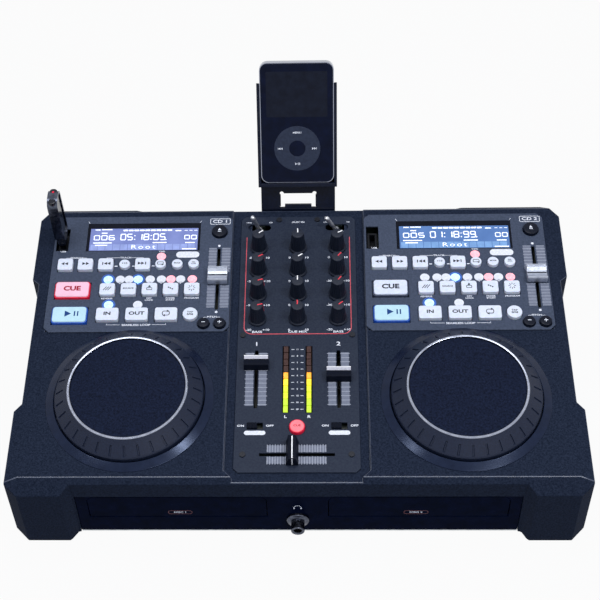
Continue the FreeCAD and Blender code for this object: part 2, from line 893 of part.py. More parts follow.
def key(deck, x, v, *footprint):
    """A key cap with the flange that keeps it under its plate and its stem."""
    cap = key_shape(deck, x, v, "-key_flange_gauge - fit", "plate_gauge + key_height", "0",
                    footprint)
    flange = key_shape(deck, x, v, "-key_flange_gauge - fit", "-fit", "key_flange", footprint)
    stem = rod(f"{deck} * deck_x + ({x})", v, "-key_stem_end", "key_stem_radius",
               "key_stem_end - key_flange_gauge - fit")
    return join(cap, flange, stem)


# ---------------------------------------------------------------- deck plates and keys
plate_mid = "(plate_high + plate_low) / 2"
corner = plate_corner
for name, sign in SIDES:
    centre = sign * deck_x
    half = plate_half
    low = plate_low
    high = plate_high
    outline = [
        Vector(centre - half, low + corner, 0), Vector(centre - half + corner, low, 0),
        Vector(centre + half - corner, low, 0), Vector(centre + half, low + corner, 0),
        Vector(centre + half, high - corner, 0), Vector(centre + half - corner, high, 0),
        Vector(centre - half + corner, high, 0), Vector(centre - half, high - corner, 0),
    ]
    sheet_metal = prism(outline, Vector(0, 0, 1), "plate_gauge")
    studs = [rod(f"{centre} + {x}", v, board_top, "stud_radius", "board_depth")
             for x, v in stud_spots]
    openings = [
        rod(f"{sign} * deck_x", "jog_v", -1, "jog_lip_radius + fit", "plate_gauge + 2"),
        block(f"{sign} * deck_x", "display_v", -1, "display_width + 2 * running",
              "display_depth + 2 * running", "plate_gauge + 2"),
        block(f"{sign} * deck_x + port_x", "port_v", -1, "port_window_width",
              "port_window_depth", "plate_gauge + 2"),
        block(f"{sign} * deck_x + pitch_x", "(pitch_low + pitch_high) / 2", -1, "slot_width",
              "pitch_high - pitch_low", "plate_gauge + 2"),
    ]
    for x, v in lamps:
        openings.append(rod(f"{sign} * deck_x + ({x})", v, -1, "lamp_radius + running",
                            "plate_gauge + 2"))
    for spots in deck_keys.values():
        for x, v, *footprint in spots:
            openings.append(key_shape(sign, x, v, "-1", "plate_gauge + 1", "fit", footprint))
    place_part("faceplate_" + name, cut(join(sheet_metal, *studs), *openings), TOP)
    for label, spots in deck_keys.items():
        place_part(f"{label}_{name}", group(*[key(sign, *spot) for spot in spots]), TOP)

# ---------------------------------------------------------------- displays
displays = []
for _, sign in SIDES:
    glass = block(f"{sign} * deck_x", "display_v",
                  "plate_gauge - display_sunk - display_gauge", "display_width",
                  "display_depth", "display_gauge")
    base = block(f"{sign} * deck_x", "display_v", board_top, "display_base_width",
                 "display_base_depth", "board_depth")
    keep_in = block(f"{sign} * deck_x", "display_v", board_top, "display_width",
                    "display_depth", "board_depth + plate_gauge - display_sunk")
    displays.append(common(join(glass, base), keep_in))
place_part("display_modules", group(*displays), TOP)

# ---------------------------------------------------------------- pitch faders
pitch_mid = "(pitch_low + pitch_high) / 2"
for name, sign in SIDES:
    x = f"{sign} * deck_x + pitch_x"
    cap = block(x, pitch_mid, "plate_gauge + cap_gap", "pitch_cap_width", "pitch_cap_depth",
                "pitch_cap_height")
    stem = block(x, pitch_mid, "-pitch_stem_end", "stem_gauge", "stem_depth",
                 "pitch_stem_end + plate_gauge + cap_gap")
    place_part("pitch_fader_" + name, join(cap, stem), TOP)

# ---------------------------------------------------------------- ports and the memory stick
ports = []
for _, sign in SIDES:
    x = f"{sign} * deck_x + port_x"
    port_body = block(x, "port_v", board_top, "port_body_width", "port_body_depth",
                      "board_depth - port_body_top")
    port_slot = block(x, "port_v", "-port_slot_floor", "port_slot_width", "port_slot_depth",
                      "port_slot_floor")
    ports.append(cut(port_body, port_slot))
place_part("usb_sockets", group(*ports), TOP)

stick_x = "port_x - deck_x"
stick_case = round_edges(
    block(stick_x, "port_v", "stick_lift", "stick_width", "stick_depth", "stick_height"),
    "stick_round", lambda edge: runs_along(edge, Vector(0, 0, 1)))
stick_plug = block(stick_x, "port_v", "plug_gap - port_slot_floor",
                   "port_slot_width - 2 * plug_gap", "port_slot_depth - 2 * plug_gap",
                   "port_slot_floor + stick_lift")
place_part("memory_stick", join(stick_case, stick_plug), TOP)

# ---------------------------------------------------------------- jog wheels
mounts = []
for name, sign in SIDES:
    x = f"{sign} * deck_x"
    mounts.append(turned([
        (0, "-jog_floor - jog_floor_gauge"), ("jog_well_radius", "-jog_floor - jog_floor_gauge"),
        ("jog_well_radius", 0), ("jog_lip_radius", 0),
        ("jog_lip_radius", "jog_lip_height - jog_lip_slant"),
        ("jog_lip_radius - jog_lip_slant", "jog_lip_height"), ("jog_bore_radius", "jog_lip_height"),
        ("jog_bore_radius", "-jog_floor"), ("jog_post_radius", "-jog_floor"),
        ("jog_post_radius", "jog_post_top"), (0, "jog_post_top"),
    ], x, "jog_v"))
    wheel = turned([
        (0, "wheel_seat"), ("wheel_rim_radius", "wheel_seat"),
        ("wheel_rim_radius", "wheel_rim_top"), ("wheel_top_radius", "wheel_rim_top"),
        ("wheel_top_radius", "wheel_shoulder"), ("wheel_radius", "wheel_skirt_top"),
        ("wheel_radius", "wheel_low"), ("wheel_radius - wheel_wall", "wheel_low"),
        ("wheel_radius - wheel_wall", "wheel_skirt_top - wheel_wall / 2"),
        ("wheel_rim_radius", "wheel_seat - wheel_wall"),
        ("wheel_hub_radius", "wheel_seat - wheel_wall"), ("wheel_hub_radius", "fit - jog_floor"),
        ("jog_post_radius + running", "fit - jog_floor"),
        ("jog_post_radius + running", "jog_post_top + fit"), (0, "jog_post_top + fit"),
    ], x, "jog_v")
    place_part("jog_wheel_" + name, group(wheel), TOP)
    disc = rod(x, "jog_v", "wheel_seat", "wheel_rim_radius - fit", "disc_gauge")
    place_part("jog_disc_" + name, group(disc), TOP)
place_part("jog_mounts", group(*mounts), TOP)

# ---------------------------------------------------------------- mixer plate
knob_columns = (-1, 0, 1)
knob_spots = [(f"{column} * knob_column", f"knob_row_first + {row} * knob_row_pitch")
              for row in range(4) for column in knob_columns]
plate_base = -channel_depth
mixer_outline = mirrored([
    Vector(mixer_half - mixer_corner, mixer_low, plate_base),
    Vector(mixer_half, mixer_low + mixer_corner, plate_base),
    Vector(mixer_half, mixer_high - mixer_corner, plate_base),
    Vector(mixer_half - mixer_corner, mixer_high, plate_base),
])
mixer_sheet = prism(mixer_outline, Vector(0, 0, 1), "mixer_gauge")
mixer_stud_spots = [(-37.0, "mixer_low + 6.0"), (37.0, "mixer_low + 6.0"),
                    (0.0, "knob_row_first - 13.0"), (-16.5, "mixer_high - 14.2"),
                    (16.5, "mixer_high - 14.2")]
mixer_studs = [rod(x, v, mixer_board_top, "stud_radius", "mixer_board_depth - channel_depth")
               for x, v in mixer_stud_spots]


def through_plate(x, v, width, depth):
    """A rectangular window through the mixer plate."""
    return block(x, v, "-channel_depth - 1", width, depth, "mixer_gauge + 2")


def hole_in_plate(x, v, radius):
    """A round hole through the mixer plate."""
    return rod(x, v, "-channel_depth - 1", radius, "mixer_gauge + 2")


mixer_openings = [hole_in_plate(x, v, "shaft_window") for x, v in knob_spots]
mixer_openings += [hole_in_plate(x, v, "face_screw_radius + running")
                   for x, v in face_screw_spots]
mixer_openings.append(hole_in_plate(0, "listen_v", "listen_radius + fit"))
mixer_openings.append(through_plate(0, "cross_v", "2 * cross_half", "slot_width"))
for _, sign in SIDES:
    mixer_openings += [
        through_plate(f"{sign} * channel_fader_x", "(channel_fader_low + channel_fader_high) / 2",
                      "slot_width", "channel_fader_high - channel_fader_low"),
        through_plate(f"{sign} * meter_x", "(meter_low + meter_high) / 2",
                      "meter_width + 2 * running", "meter_high - meter_low + 2 * running"),
        through_plate(f"{sign} * selector_x", "selector_v", "selector_window_width",
                      "selector_window_depth"),
        through_plate(f"{sign} * toggle_x", "toggle_v",
                      "toggle_window_width - toggle_window_depth", "toggle_window_depth"),
    ]
    for hand in (-1, 1):
        mixer_openings.append(hole_in_plate(
            f"{sign} * toggle_x + {hand} * (toggle_window_width - toggle_window_depth) / 2",
            "toggle_v", "toggle_window_depth / 2"))
place_part("mixer_plate", cut(join(mixer_sheet, *mixer_studs), *mixer_openings), TOP)

# ---------------------------------------------------------------- mixer knobs
knob_names = ("gain", "treble", "middle", "bass")
column_names = ("left", "centre", "right")
knob_foot = f"({mixer_top} + knob_lift)"
for row, knob_name in enumerate(reversed(knob_names)):
    for column, column_name in zip(knob_columns, column_names):
        knob = turned([
            (0, "-shaft_end"), ("shaft_radius", "-shaft_end"), ("shaft_radius", knob_foot),
            ("knob_radius", knob_foot), ("knob_radius", knob_foot + " + knob_skirt"),
            ("knob_waist_radius", knob_foot + " + knob_skirt"),
            ("knob_crown_radius", knob_foot + " + knob_height"),
            (0, knob_foot + " + knob_height"),
        ], f"{column} * knob_column", f"knob_row_first + {row} * knob_row_pitch")
        place_part(f"{knob_name}_knob_{column_name}", group(knob), TOP)

# ---------------------------------------------------------------- mixer faders
for number_name, sign, rest_v in (("one", -1, "fader_one_v"), ("two", 1, "fader_two_v")):
    x = f"{sign} * channel_fader_x"
    cap = block(x, rest_v, f"{mixer_top} + cap_gap", "channel_cap_width", "channel_cap_depth",
                "channel_cap_height")
    stem = block(x, rest_v, "-mixer_stem_end", "stem_gauge", "stem_depth",
                 f"mixer_stem_end + {mixer_top} + cap_gap")
    place_part("channel_fader_" + number_name, join(cap, stem), TOP)
cross_cap = block("cross_rest_x", "cross_cap_v", f"{mixer_top} + cap_gap", "cross_cap_width",
                  "cross_cap_depth", "cross_cap_height")
cross_stem = block("cross_rest_x", "cross_v", "-mixer_stem_end", "stem_depth", "stem_gauge",
                   f"mixer_stem_end + {mixer_top} + cap_gap")
place_part("crossfader", join(cross_cap, cross_stem), TOP)

# ---------------------------------------------------------------- mixer switches
for name, sign in SIDES:
    hub = rod(0, "-toggle_hub_half", 0, "toggle_hub_radius", "2 * toggle_hub_half", ALONG_Y)
    pin = rod(0, "-toggle_hub_half - toggle_cheek", 0, "toggle_pin_radius",
              "2 * (toggle_hub_half + toggle_cheek)", ALONG_Y)
    lever = taper(0, 0, 0, "toggle_radius", "toggle_tip_radius", "toggle_length")
    toggle = join(hub, pin, lever)
    leaning = moved(Placement(
        Vector(sign * toggle_x, toggle_v, -toggle_pivot),
        Rotation(Vector(0, 1, 0), -number("toggle_lean_" + name))), toggle)
    place_part("source_toggle_" + name, group(leaning), TOP)
    rest_x = f"{sign} * selector_x - selector_travel / 2"
    knob = block(rest_x, "selector_v", "fit - selector_body_top", "selector_knob_width",
                 "selector_knob_depth",
                 f"selector_body_top - fit + {mixer_top} + selector_knob_height")
    place_part("fader_start_switch_" + name, group(knob), TOP)
listen_key = rod(0, "listen_v", "-listen_key_end", "listen_radius",
                 f"listen_key_end + {mixer_top} + listen_height")
place_part("listen_key", group(listen_key), TOP)

# ---------------------------------------------------------------- lamps and meters
lenses = []
for _, sign in SIDES:
    for x, v in lamps:
        lenses.append(rod(f"{sign} * deck_x + ({x})", v, "-lamp_depth", "lamp_radius",
                          "lamp_depth + plate_gauge + lamp_crown"))
    lenses.append(block(f"{sign} * meter_x", "(meter_low + meter_high) / 2",
                        f"{mixer_top} - meter_depth", "meter_width", "meter_high - meter_low",
                        "meter_depth"))
place_part("indicator_lenses", group(*lenses), TOP)

# ---------------------------------------------------------------- circuit boards
# Boards under the plates carry the faders', pots' and switches' bodies; the
# main board stands on the pan behind the drawers.
boards = []
for _, sign in SIDES:
    deck_board = block(f"{sign} * deck_x", plate_mid, f"{board_top} - board_gauge",
                       "2 * (plate_half - plate_rim - fit)",
                       "plate_high - plate_low - 2 * (plate_rim + fit)", "board_gauge")
    x = f"{sign} * deck_x + pitch_x"
    fader = cut(
        block(x, pitch_mid, board_top, "fader_body_width",
              "pitch_high - pitch_low + 2 * fader_body_end", "board_depth - pitch_body_top"),
        block(x, pitch_mid, f"{board_top} + fader_track_depth", "slot_width",
              "pitch_high - pitch_low", "board_depth"))
    boards.append(join(deck_board, fader))
mixer_board_low = f"({mixer_window_low} + fit)"
mixer_board = block(0, f"({mixer_board_low} + toggle_v + toggle_cheek_width) / 2",
                    f"{mixer_board_top} - board_gauge", "2 * (mixer_half - mixer_rim - fit)",
                    f"toggle_v + toggle_cheek_width - {mixer_board_low}", "board_gauge")
mixer_parts = [mixer_board]
mixer_bores = []
for x, v in knob_spots:
    mixer_parts.append(rod(x, v, mixer_board_top, "pot_radius", "mixer_board_depth - pot_top"))
    mixer_bores.append(rod(x, v, "-shaft_end - fit", "shaft_radius + running", "shaft_end"))
fader_height = "mixer_board_depth - mixer_fader_top"
for _, sign in SIDES:
    mixer_parts += [
        block(f"{sign} * channel_fader_x", "(channel_fader_low + channel_fader_high) / 2",
              mixer_board_top, "fader_body_width",
              "channel_fader_high - channel_fader_low + 2 * fader_body_end", fader_height),
        block(f"{sign} * selector_x", "selector_v", mixer_board_top, "selector_body_width",
              "selector_body_depth", "mixer_board_depth - selector_body_top"),
    ]
    mixer_bores.append(block(
        f"{sign} * channel_fader_x", "(channel_fader_low + channel_fader_high) / 2",
        "-mixer_fader_top - mixer_track_depth", "slot_width",
        "channel_fader_high - channel_fader_low", "mixer_track_depth + 1"))
    for hand in (-1, 1):
        mixer_parts.append(block(
            f"{sign} * toggle_x",
            f"toggle_v + {hand} * (toggle_hub_half + fit + toggle_cheek / 2)",
            mixer_board_top, "toggle_cheek_width", "toggle_cheek",
            "mixer_board_depth - toggle_pivot + toggle_hub_radius + fit"))
    mixer_bores.append(rod(f"{sign} * toggle_x", "toggle_v - toggle_cheek_width",
                           "-toggle_pivot", "toggle_pin_radius + running",
                           "2 * toggle_cheek_width", ALONG_Y))
mixer_parts += [
    block(0, "cross_v", mixer_board_top, "2 * (cross_half + fader_body_end)",
          "fader_body_width", fader_height),
    block(0, "listen_v", mixer_board_top, "listen_body", "listen_body",
          "mixer_board_depth - listen_body_top"),
]
mixer_bores.append(block(0, "cross_v", "-mixer_fader_top - mixer_track_depth", "2 * cross_half",
                         "slot_width", "mixer_track_depth + 1"))
boards.append(cut(join(*mixer_parts), *mixer_bores))
board_z = f"({pan_top} + main_board_lift)"
main_parts = [block(0, "main_board_y", board_z, "2 * main_board_half", "main_board_width",
                    "board_gauge")]
for x in (-0.9, -0.3, 0.3, 0.9):
    for hand in (-1, 1):
        main_parts.append(rod(f"{x} * main_board_half",
                              f"main_board_y + {hand} * 0.4 * main_board_width",
                              pan_top, "standoff_radius", "main_board_lift"))
for x in (-0.7, -0.1, 0.5):
    main_parts.append(block(f"{x} * main_board_half", "main_board_y", f"{board_z} + board_gauge",
                            "chip", "chip", "chip_height"))
main_board = join(*main_parts)
place_part("circuit_boards", group(
    moved(TOP_IN_HOUSING, *boards), main_board), HOUSING)

# ---------------------------------------------------------------- power supply
supply_z = f"({pan_top} + supply_lift)"
supply_top = f"({supply_z} + board_gauge)"
supply_parts = [
    block("supply_x", "supply_y", supply_z, "supply_width", "supply_length", "board_gauge"),
    block("supply_x", "supply_y + 0.3 * supply_length", supply_top, "transformer_width",
          "transformer_length", "transformer_height"),
    block("supply_x", "supply_y - 0.3 * supply_length", supply_top, "heat_sink_gauge",
          "heat_sink_length", "heat_sink_height"),
    rod("supply_x", "supply_y", supply_top, "capacitor_radius", "capacitor_height"),
]
for hand in (-1, 1):
    for end in (-1, 1):
        supply_parts.append(rod(f"supply_x + {hand} * 0.38 * supply_width",
                                f"supply_y + {end} * 0.46 * supply_length", pan_top,
                                "standoff_radius", "supply_lift"))
place_part("power_supply", join(*supply_parts), HOUSING)

# ---------------------------------------------------------------- back panel and its sockets
panel_inside = f"({hollow_back} - back_panel_gauge)"
socket_spots = [(f"line_socket_first + {i} * line_socket_pitch",
                 f"line_socket_z - {j} * line_socket_drop")
                for i in range(7) for j in range(2)]
back_panel = block(0, f"{hollow_back} - back_panel_gauge / 2", pan_top, "2 * back_panel_half",
                   "back_panel_gauge", f"back_panel_top - {pan_top}")
panel_holes = [rod(x, f"{hollow_back} - 10", z, "line_socket_radius + running", 20, ALONG_Y)
               for x, z in socket_spots]
inlet_window = block("inlet_x", hollow_back, "inlet_z - inlet_height / 2 - running",
                     "inlet_width + 2 * running", "4 * back_panel_gauge",
                     "inlet_height + 2 * running")
place_part("back_panel", cut(back_panel, *panel_holes, inlet_window), HOUSING)

sockets = []
for x, z in socket_spots:
    base = block(x, f"{panel_inside} - line_socket_depth / 2", f"{z} - line_socket_base / 2",
                 "line_socket_base", "line_socket_depth", "line_socket_base")
    barrel = rod(x, f"{panel_inside} - 1", z, "line_socket_radius", "line_socket_reach + 1",
                 ALONG_Y)
    pin_hole = rod(x, hollow_back, z, "line_socket_bore", "line_socket_reach", ALONG_Y)
    sockets.append(cut(join(base, barrel), pin_hole))
inlet_low = "(inlet_z - inlet_height / 2)"
inlet_body = block("inlet_x", f"{hollow_back} + inlet_flange_gauge - inlet_depth / 2", inlet_low,
                   "inlet_width", "inlet_depth", "inlet_height")
inlet_rim = block("inlet_x", f"{hollow_back} + inlet_flange_gauge / 2", f"{inlet_low} - inlet_flange",
                  "inlet_width + 2 * inlet_flange", "inlet_flange_gauge",
                  "inlet_height + 2 * inlet_flange")
inlet_hollow = block("inlet_x", f"{hollow_back} + inlet_flange_gauge - inlet_recess / 2",
                     f"{inlet_low} + inlet_wall", "inlet_width - 2 * inlet_wall", "inlet_recess",
                     "inlet_height - 2 * inlet_wall")
inlet_pins = [
    block(f"inlet_x + {i} * inlet_pin_pitch",
          f"{hollow_back} + inlet_flange_gauge - inlet_recess + inlet_pin_length / 2",
          "inlet_z - inlet_pin_width / 2", "inlet_pin_height", "inlet_pin_length",
          "inlet_pin_width")
    for i in (-1, 0, 1)
]
inlet = join(cut(join(inlet_body, inlet_rim), inlet_hollow), *inlet_pins)
place_part("back_sockets", group(*sockets, inlet), HOUSING)

# ---------------------------------------------------------------- dock
# A bent plate on the back wall that carries a shelf and two arms; the player
# leans back between the arms on the shelf.
dock_half = "(player_width / 2 + fit + dock_arm_gauge)"
back_plate_y = "(player_depth + fit + dock_gauge / 2)"
arm_depth = "(player_depth + fit + dock_gauge + dock_arm_front)"
neck = block(0, back_plate_y, "-dock_neck_length", "2 * dock_neck_half", "dock_gauge",
             "dock_neck_length")
spine = block(0, back_plate_y, "-dock_shelf - fit", "2 * " + dock_half, "dock_gauge",
              "dock_arm_height + dock_shelf + fit")
shelf = block(0, f"{arm_depth} / 2 - dock_arm_front", "-dock_shelf - fit", "2 * " + dock_half,
              arm_depth, "dock_shelf")
arms = [block(f"{hand} * ({dock_half} - dock_arm_gauge / 2)", f"{arm_depth} / 2 - dock_arm_front",
              "-dock_shelf - fit", "dock_arm_gauge", arm_depth,
              "dock_arm_height + dock_shelf + fit") for hand in (-1, 1)]
tongue = block(0, "tongue_y", "-fit", "tongue_width", "tongue_gauge", "tongue_height")
tongue_root = block(0, "tongue_y", "-fit - dock_shelf / 2", "tongue_width", "tongue_gauge",
                    "dock_shelf")
neck_window = cut(
    block(0, back_plate_y, "-dock_window_low", "2 * dock_window_half", "4 * dock_gauge",
          "dock_window_low - dock_window_high"),
    block(0, back_plate_y, "-dock_window_low", "2 * dock_tab_half", "4 * dock_gauge",
          "dock_tab_height"))
ears = [rod(f"{hand} * (dock_window_half - dock_ear_radius / 2)", "player_depth",
            z, "dock_ear_radius", "4 * dock_gauge", ALONG_Y)
        for hand in (-1, 1) for z in ("-dock_window_high", "-dock_window_low")]
arm_back = player_depth + fit + dock_gauge
above_arms = prism([
    Vector(-beyond, -dock_arm_front, dock_arm_height),
    Vector(-beyond, 2 * arm_back, dock_arm_height - dock_arm_drop * 2),
    Vector(-beyond, 2 * arm_back, 2 * dock_arm_height),
    Vector(-beyond, -dock_arm_front, 2 * dock_arm_height),
], Vector(1, 0, 0), "4 * half_width")
leaning_dock = moved(DOCK_IN_HOUSING, cut(
    join(neck, spine, shelf, *arms, tongue, tongue_root), neck_window, *ears, above_arms))
flange_front = "(back_y - back_step + running)"
flange = block(0, f"{flange_front} + dock_gauge / 2", "dock_flange_low", "2 * dock_neck_half",
               "dock_gauge", "dock_flange_top - dock_flange_low")
dock_screw_holes = [rod(x, flange_front + " - 1", "dock_screw_z", "screw_radius + fit",
                        "dock_gauge + 2", ALONG_Y) for x in (-dock_screw_x, dock_screw_x)]
place_part("dock_cradle", cut(join(leaning_dock, flange), *dock_screw_holes), HOUSING)

player_case = round_edges(
    block(0, "player_depth / 2", 0, "player_width", "player_depth", "player_height"),
    "player_round", lambda edge: runs_along(edge, Vector(0, 1, 0)))
player_shell = round_edges(player_case, "player_back_round", lambda edge: (
    abs(edge.CenterOfMass.y - player_depth) < 0.01))
tongue_slot = block(0, "tongue_y", -1, "tongue_width + 2 * fit", "tongue_gauge + 2 * fit",
                    "tongue_height + 1")
place_part("pocket_player", cut(player_shell, tongue_slot), DOCK)

# ---------------------------------------------------------------- screws
# Cross-head machine screws: under the pan, through the mixer plate and
# through the dock's flange.
screws = []
for x, y in boss_spots:
    screws.append(join(
        rod(x, y, "underside_z - screw_head_height", "screw_head_radius", "screw_head_height"),
        rod(x, y, "underside_z - screw_head_height", "screw_radius",
            "screw_head_height + pan_gauge + screw_length")))
for x in (-dock_screw_x, dock_screw_x):
    screws.append(join(
        rod(x, flange_front + " + dock_gauge", "dock_screw_z", "screw_head_radius",
            "screw_head_height", ALONG_Y),
        rod(x, hollow_back + " + fit", "dock_screw_z", "screw_radius",
            "wall + dock_gauge + screw_head_height - fit", ALONG_Y)))
plate_screws = []
for x, v in face_screw_spots:
    plate_screws.append(join(
        rod(x, v, mixer_top, "face_head_radius", "face_head_height"),
        rod(x, v, f"{mixer_top} - mixer_gauge - wall", "face_screw_radius",
            "mixer_gauge + wall + face_head_height")))
place_part("screws", group(*screws, moved(TOP_IN_HOUSING, *plate_screws)), HOUSING)

# ---------------------------------------------------------------- checks and files
doc.recompute()
for thing in doc.Objects:
    if "Invalid" in thing.State or "Error" in thing.State:
        raise RuntimeError(f"{thing.Label} failed: {thing.State}")
for piece in parts:
    if piece.Shape.isNull() or not piece.Shape.isValid():
        raise RuntimeError(f"{piece.Label} has no valid shape")
os.makedirs("parts", exist_ok=True)
for piece in parts:
    piece.Shape.exportStep(f"parts/{piece.Label}.step")
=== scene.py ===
import math

import bmesh
import bpy
from mathutils import Matrix, Vector


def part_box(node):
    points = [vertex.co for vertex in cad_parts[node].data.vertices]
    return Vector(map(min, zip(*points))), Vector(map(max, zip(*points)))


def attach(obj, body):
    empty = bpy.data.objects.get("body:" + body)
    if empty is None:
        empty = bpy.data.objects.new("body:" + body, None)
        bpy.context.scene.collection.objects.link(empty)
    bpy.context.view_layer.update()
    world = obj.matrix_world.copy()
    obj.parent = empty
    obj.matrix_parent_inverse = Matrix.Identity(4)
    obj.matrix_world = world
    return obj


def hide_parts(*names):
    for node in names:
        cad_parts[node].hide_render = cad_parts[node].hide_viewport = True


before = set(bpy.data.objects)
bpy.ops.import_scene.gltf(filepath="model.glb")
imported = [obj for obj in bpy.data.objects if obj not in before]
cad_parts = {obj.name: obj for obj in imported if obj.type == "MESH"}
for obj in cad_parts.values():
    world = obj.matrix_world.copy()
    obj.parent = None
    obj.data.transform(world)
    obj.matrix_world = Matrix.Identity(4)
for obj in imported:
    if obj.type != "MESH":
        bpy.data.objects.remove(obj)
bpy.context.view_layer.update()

# ---- housing
# One injection moulding in dark blue-grey ABS, spark-textured in the mould:
# a crowned sloping top, four bumpered corners that reach down as feet, and
# crisp chamfers that the light catches, with a painted highlight on their
# upward bevels.
MILLIMETRE = 0.001
# Shapes are drawn in millimetres and put in place by a matrix. HOUSING starts
# at the front edge on the table; TOP lies on the sloping top, where x runs to
# the right, v up the slope and height off it.
front_edge_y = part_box("top_shell")[0][1]
HOUSING = Matrix.Translation((0, front_edge_y, 0)) @ Matrix.Scale(MILLIMETRE, 4)
TOP = (HOUSING @ Matrix.Translation((0, 10.3, 74.7))
       @ Matrix.Rotation(math.radians(5), 4, "X"))


def at(place, x, v, height=0.0):
    """A place moved by x, v and height."""
    return place @ Matrix.Translation((x, v, height))


def colour(code):
    """A linear colour from an sRGB hex value."""
    levels = [int(code[i:i + 2], 16) / 255 for i in (1, 3, 5)]
    return tuple(level / 12.92 if level < 0.04045 else ((level + 0.055) / 1.055) ** 2.4
                 for level in levels) + (1,)


def add_node(owner, kind, settings, links):
    """Add a node; each setting goes to the input or the property of its name."""
    node = owner.node_tree.nodes.new(kind)
    for name, value in settings.items():
        if hasattr(node, str(name)):
            setattr(node, name, value)
        else:
            node.inputs[name].default_value = value
    for name, socket in links.items():
        owner.node_tree.links.new(socket, node.inputs[name])
    return node


def finish(name, shades, grain, roughness, relief=0.0, specular=0.5, glow=None, **sockets):
    """A surface mottled at the size of its grain in mm, from the lower to the
    higher shade and roughness; relief is the grain's height in mm, and glow
    is the colour and strength of its own light."""
    material = bpy.data.materials.new(name)
    material.use_nodes = True
    shader = material.node_tree.nodes["Principled BSDF"]
    shader.inputs["Specular IOR Level"].default_value = specular
    if glow:
        shader.inputs["Emission Color"].default_value = colour(glow[0])
        shader.inputs["Emission Strength"].default_value = glow[1]
    for socket, value in sockets.items():
        shader.inputs[socket.replace("_", " ")].default_value = value
    place = add_node(material, "ShaderNodeTexCoord", {}, {})
    noise = add_node(material, "ShaderNodeTexNoise",
                     {"Scale": 1 / (grain * MILLIMETRE), "Detail": 3.0},
                     {"Vector": place.outputs["Object"]})
    # The noise seldom leaves this middle range, which is spread over 0 to 1.
    amount = add_node(material, "ShaderNodeMapRange", {"From Min": 0.32, "From Max": 0.68},
                      {"Value": noise.outputs["Fac"]})
    tint = add_node(material, "ShaderNodeMix",
                    {"data_type": "RGBA", 6: colour(shades[0]), 7: colour(shades[1])},
                    {0: amount.outputs["Result"]})
    gloss = add_node(material, "ShaderNodeMapRange",
                     {"To Min": roughness[0], "To Max": roughness[1]},
                     {"Value": amount.outputs["Result"]})
    material.node_tree.links.new(tint.outputs[2], shader.inputs["Base Color"])
    material.node_tree.links.new(gloss.outputs["Result"], shader.inputs["Roughness"])
    if relief:
        bump = add_node(material, "ShaderNodeBump", {"Distance": relief * MILLIMETRE},
                        {"Height": amount.outputs["Result"]})
        material.node_tree.links.new(bump.outputs["Normal"], shader.inputs["Normal"])
    return material


def make_piece(shape, name, body, material, place=TOP, crease=32):
    """Put a shape in its place, turn its faces outwards and let it ride."""
    bmesh.ops.transform(shape, matrix=place, verts=shape.verts)
    bmesh.ops.recalc_face_normals(shape, faces=shape.faces)
    mesh = bpy.data.meshes.new(name)
    shape.to_mesh(mesh)
    shape.free()
    mesh.materials.append(material)
    for face in mesh.polygons:
        face.use_smooth = True
    mesh.set_sharp_from_angle(angle=math.radians(crease))
    piece = bpy.data.objects.new(name, mesh)
    bpy.context.scene.collection.objects.link(piece)
    piece.modifiers.new("even_light", "WEIGHTED_NORMAL").keep_sharp = True
    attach(piece, body)
    return piece


def bevel(shape, edges, width, steps):
    """Round edges off by a width, in steps."""
    return bmesh.ops.bevel(shape, geom=edges, offset=width, offset_type="OFFSET",
                           segments=steps, profile=0.5, affect="EDGES", material=-1)


def eased_copy(node, body, material, width, shortest=2.0, edge_highlight=None):
    """A moulded or folded part as it leaves the tool: the node with its long
    sharp edges eased by a width in mm. Where a second finish is given, the
    bevels that face up take it as a painted highlight. It stands for the node."""
    speck = 0.2 * MILLIMETRE
    faces_up = 0.72
    shape = bmesh.new()
    shape.from_mesh(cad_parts[node].data)
    bmesh.ops.remove_doubles(shape, verts=shape.verts, dist=1e-6)
    bmesh.ops.dissolve_limit(shape, angle_limit=math.radians(1), verts=shape.verts,
                             edges=shape.edges)
    bmesh.ops.collapse(shape, edges=[edge for edge in shape.edges
                                     if edge.calc_length() < speck])
    sharp = [edge for edge in shape.edges
             if len(edge.link_faces) == 2 and edge.calc_face_angle() > math.radians(25)
             and edge.calc_length() > shortest * MILLIMETRE]
    # Bevel faces that face up get the second finish, a painted highlight.
    for face in bevel(shape, sharp, width * MILLIMETRE, 2)["faces"]:
        face.normal_update()
        face.material_index = 1 if edge_highlight and face.normal.z > faces_up else 0
    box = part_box(node)
    for vert in shape.verts:
        vert.co = [max(low, min(high, value)) for value, low, high in zip(vert.co, *box)]
    piece = make_piece(shape, node + "_eased", body, material, Matrix())
    if edge_highlight:
        piece.data.materials.append(edge_highlight)
    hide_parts(node)


def use_material(material, *nodes):
    """Give CAD nodes their finish."""
    for node in nodes:
        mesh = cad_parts[node].data
        mesh.materials.clear()
        mesh.materials.append(material)


# Moulded ABS with a spark-eroded texture: a dark, faintly blue matt surface.
# The real grain is about 0.3 mm; it is drawn at 1.3 mm so that it shows.
textured_abs = finish("spark_textured_abs", ("#151c2b", "#252d3f"), 1.3, (0.46, 0.62),
                      relief=0.05, specular=0.03, IOR=1.3)
# A paler, glossier finish on the upward bevels of the shell's edges: a painted highlight along
# the edges.
painted_highlight_abs = finish("painted_edge_highlight_abs", ("#343d52", "#3e485e"), 9.0, (0.24, 0.34), IOR=1.53)
eased_copy("top_shell", "console", textured_abs, 0.45, 2.5, painted_highlight_abs)

# ---- pan and feet
# The floor of the case is zinc-plated sheet steel, held by six screws, and the
# four corners stand on turned rubber pads.
galvanised_steel = finish("galvanised_sheet_steel", ("#8f949b", "#b9bec4"), 6.0, (0.34, 0.5),
                          Metallic=1.0)
foot_rubber = finish("moulded_rubber", ("#101114", "#1c1d21"), 1.2, (0.7, 0.9), relief=0.04)
blackened_steel = finish("blackened_screw_steel", ("#0c0f17", "#1a1e29"), 1.0, (0.4, 0.52),
                         specular=0.3, Metallic=0.3)
use_material(galvanised_steel, "base_pan")
use_material(foot_rubber, "rubber_feet")
use_material(blackened_steel, "screws")

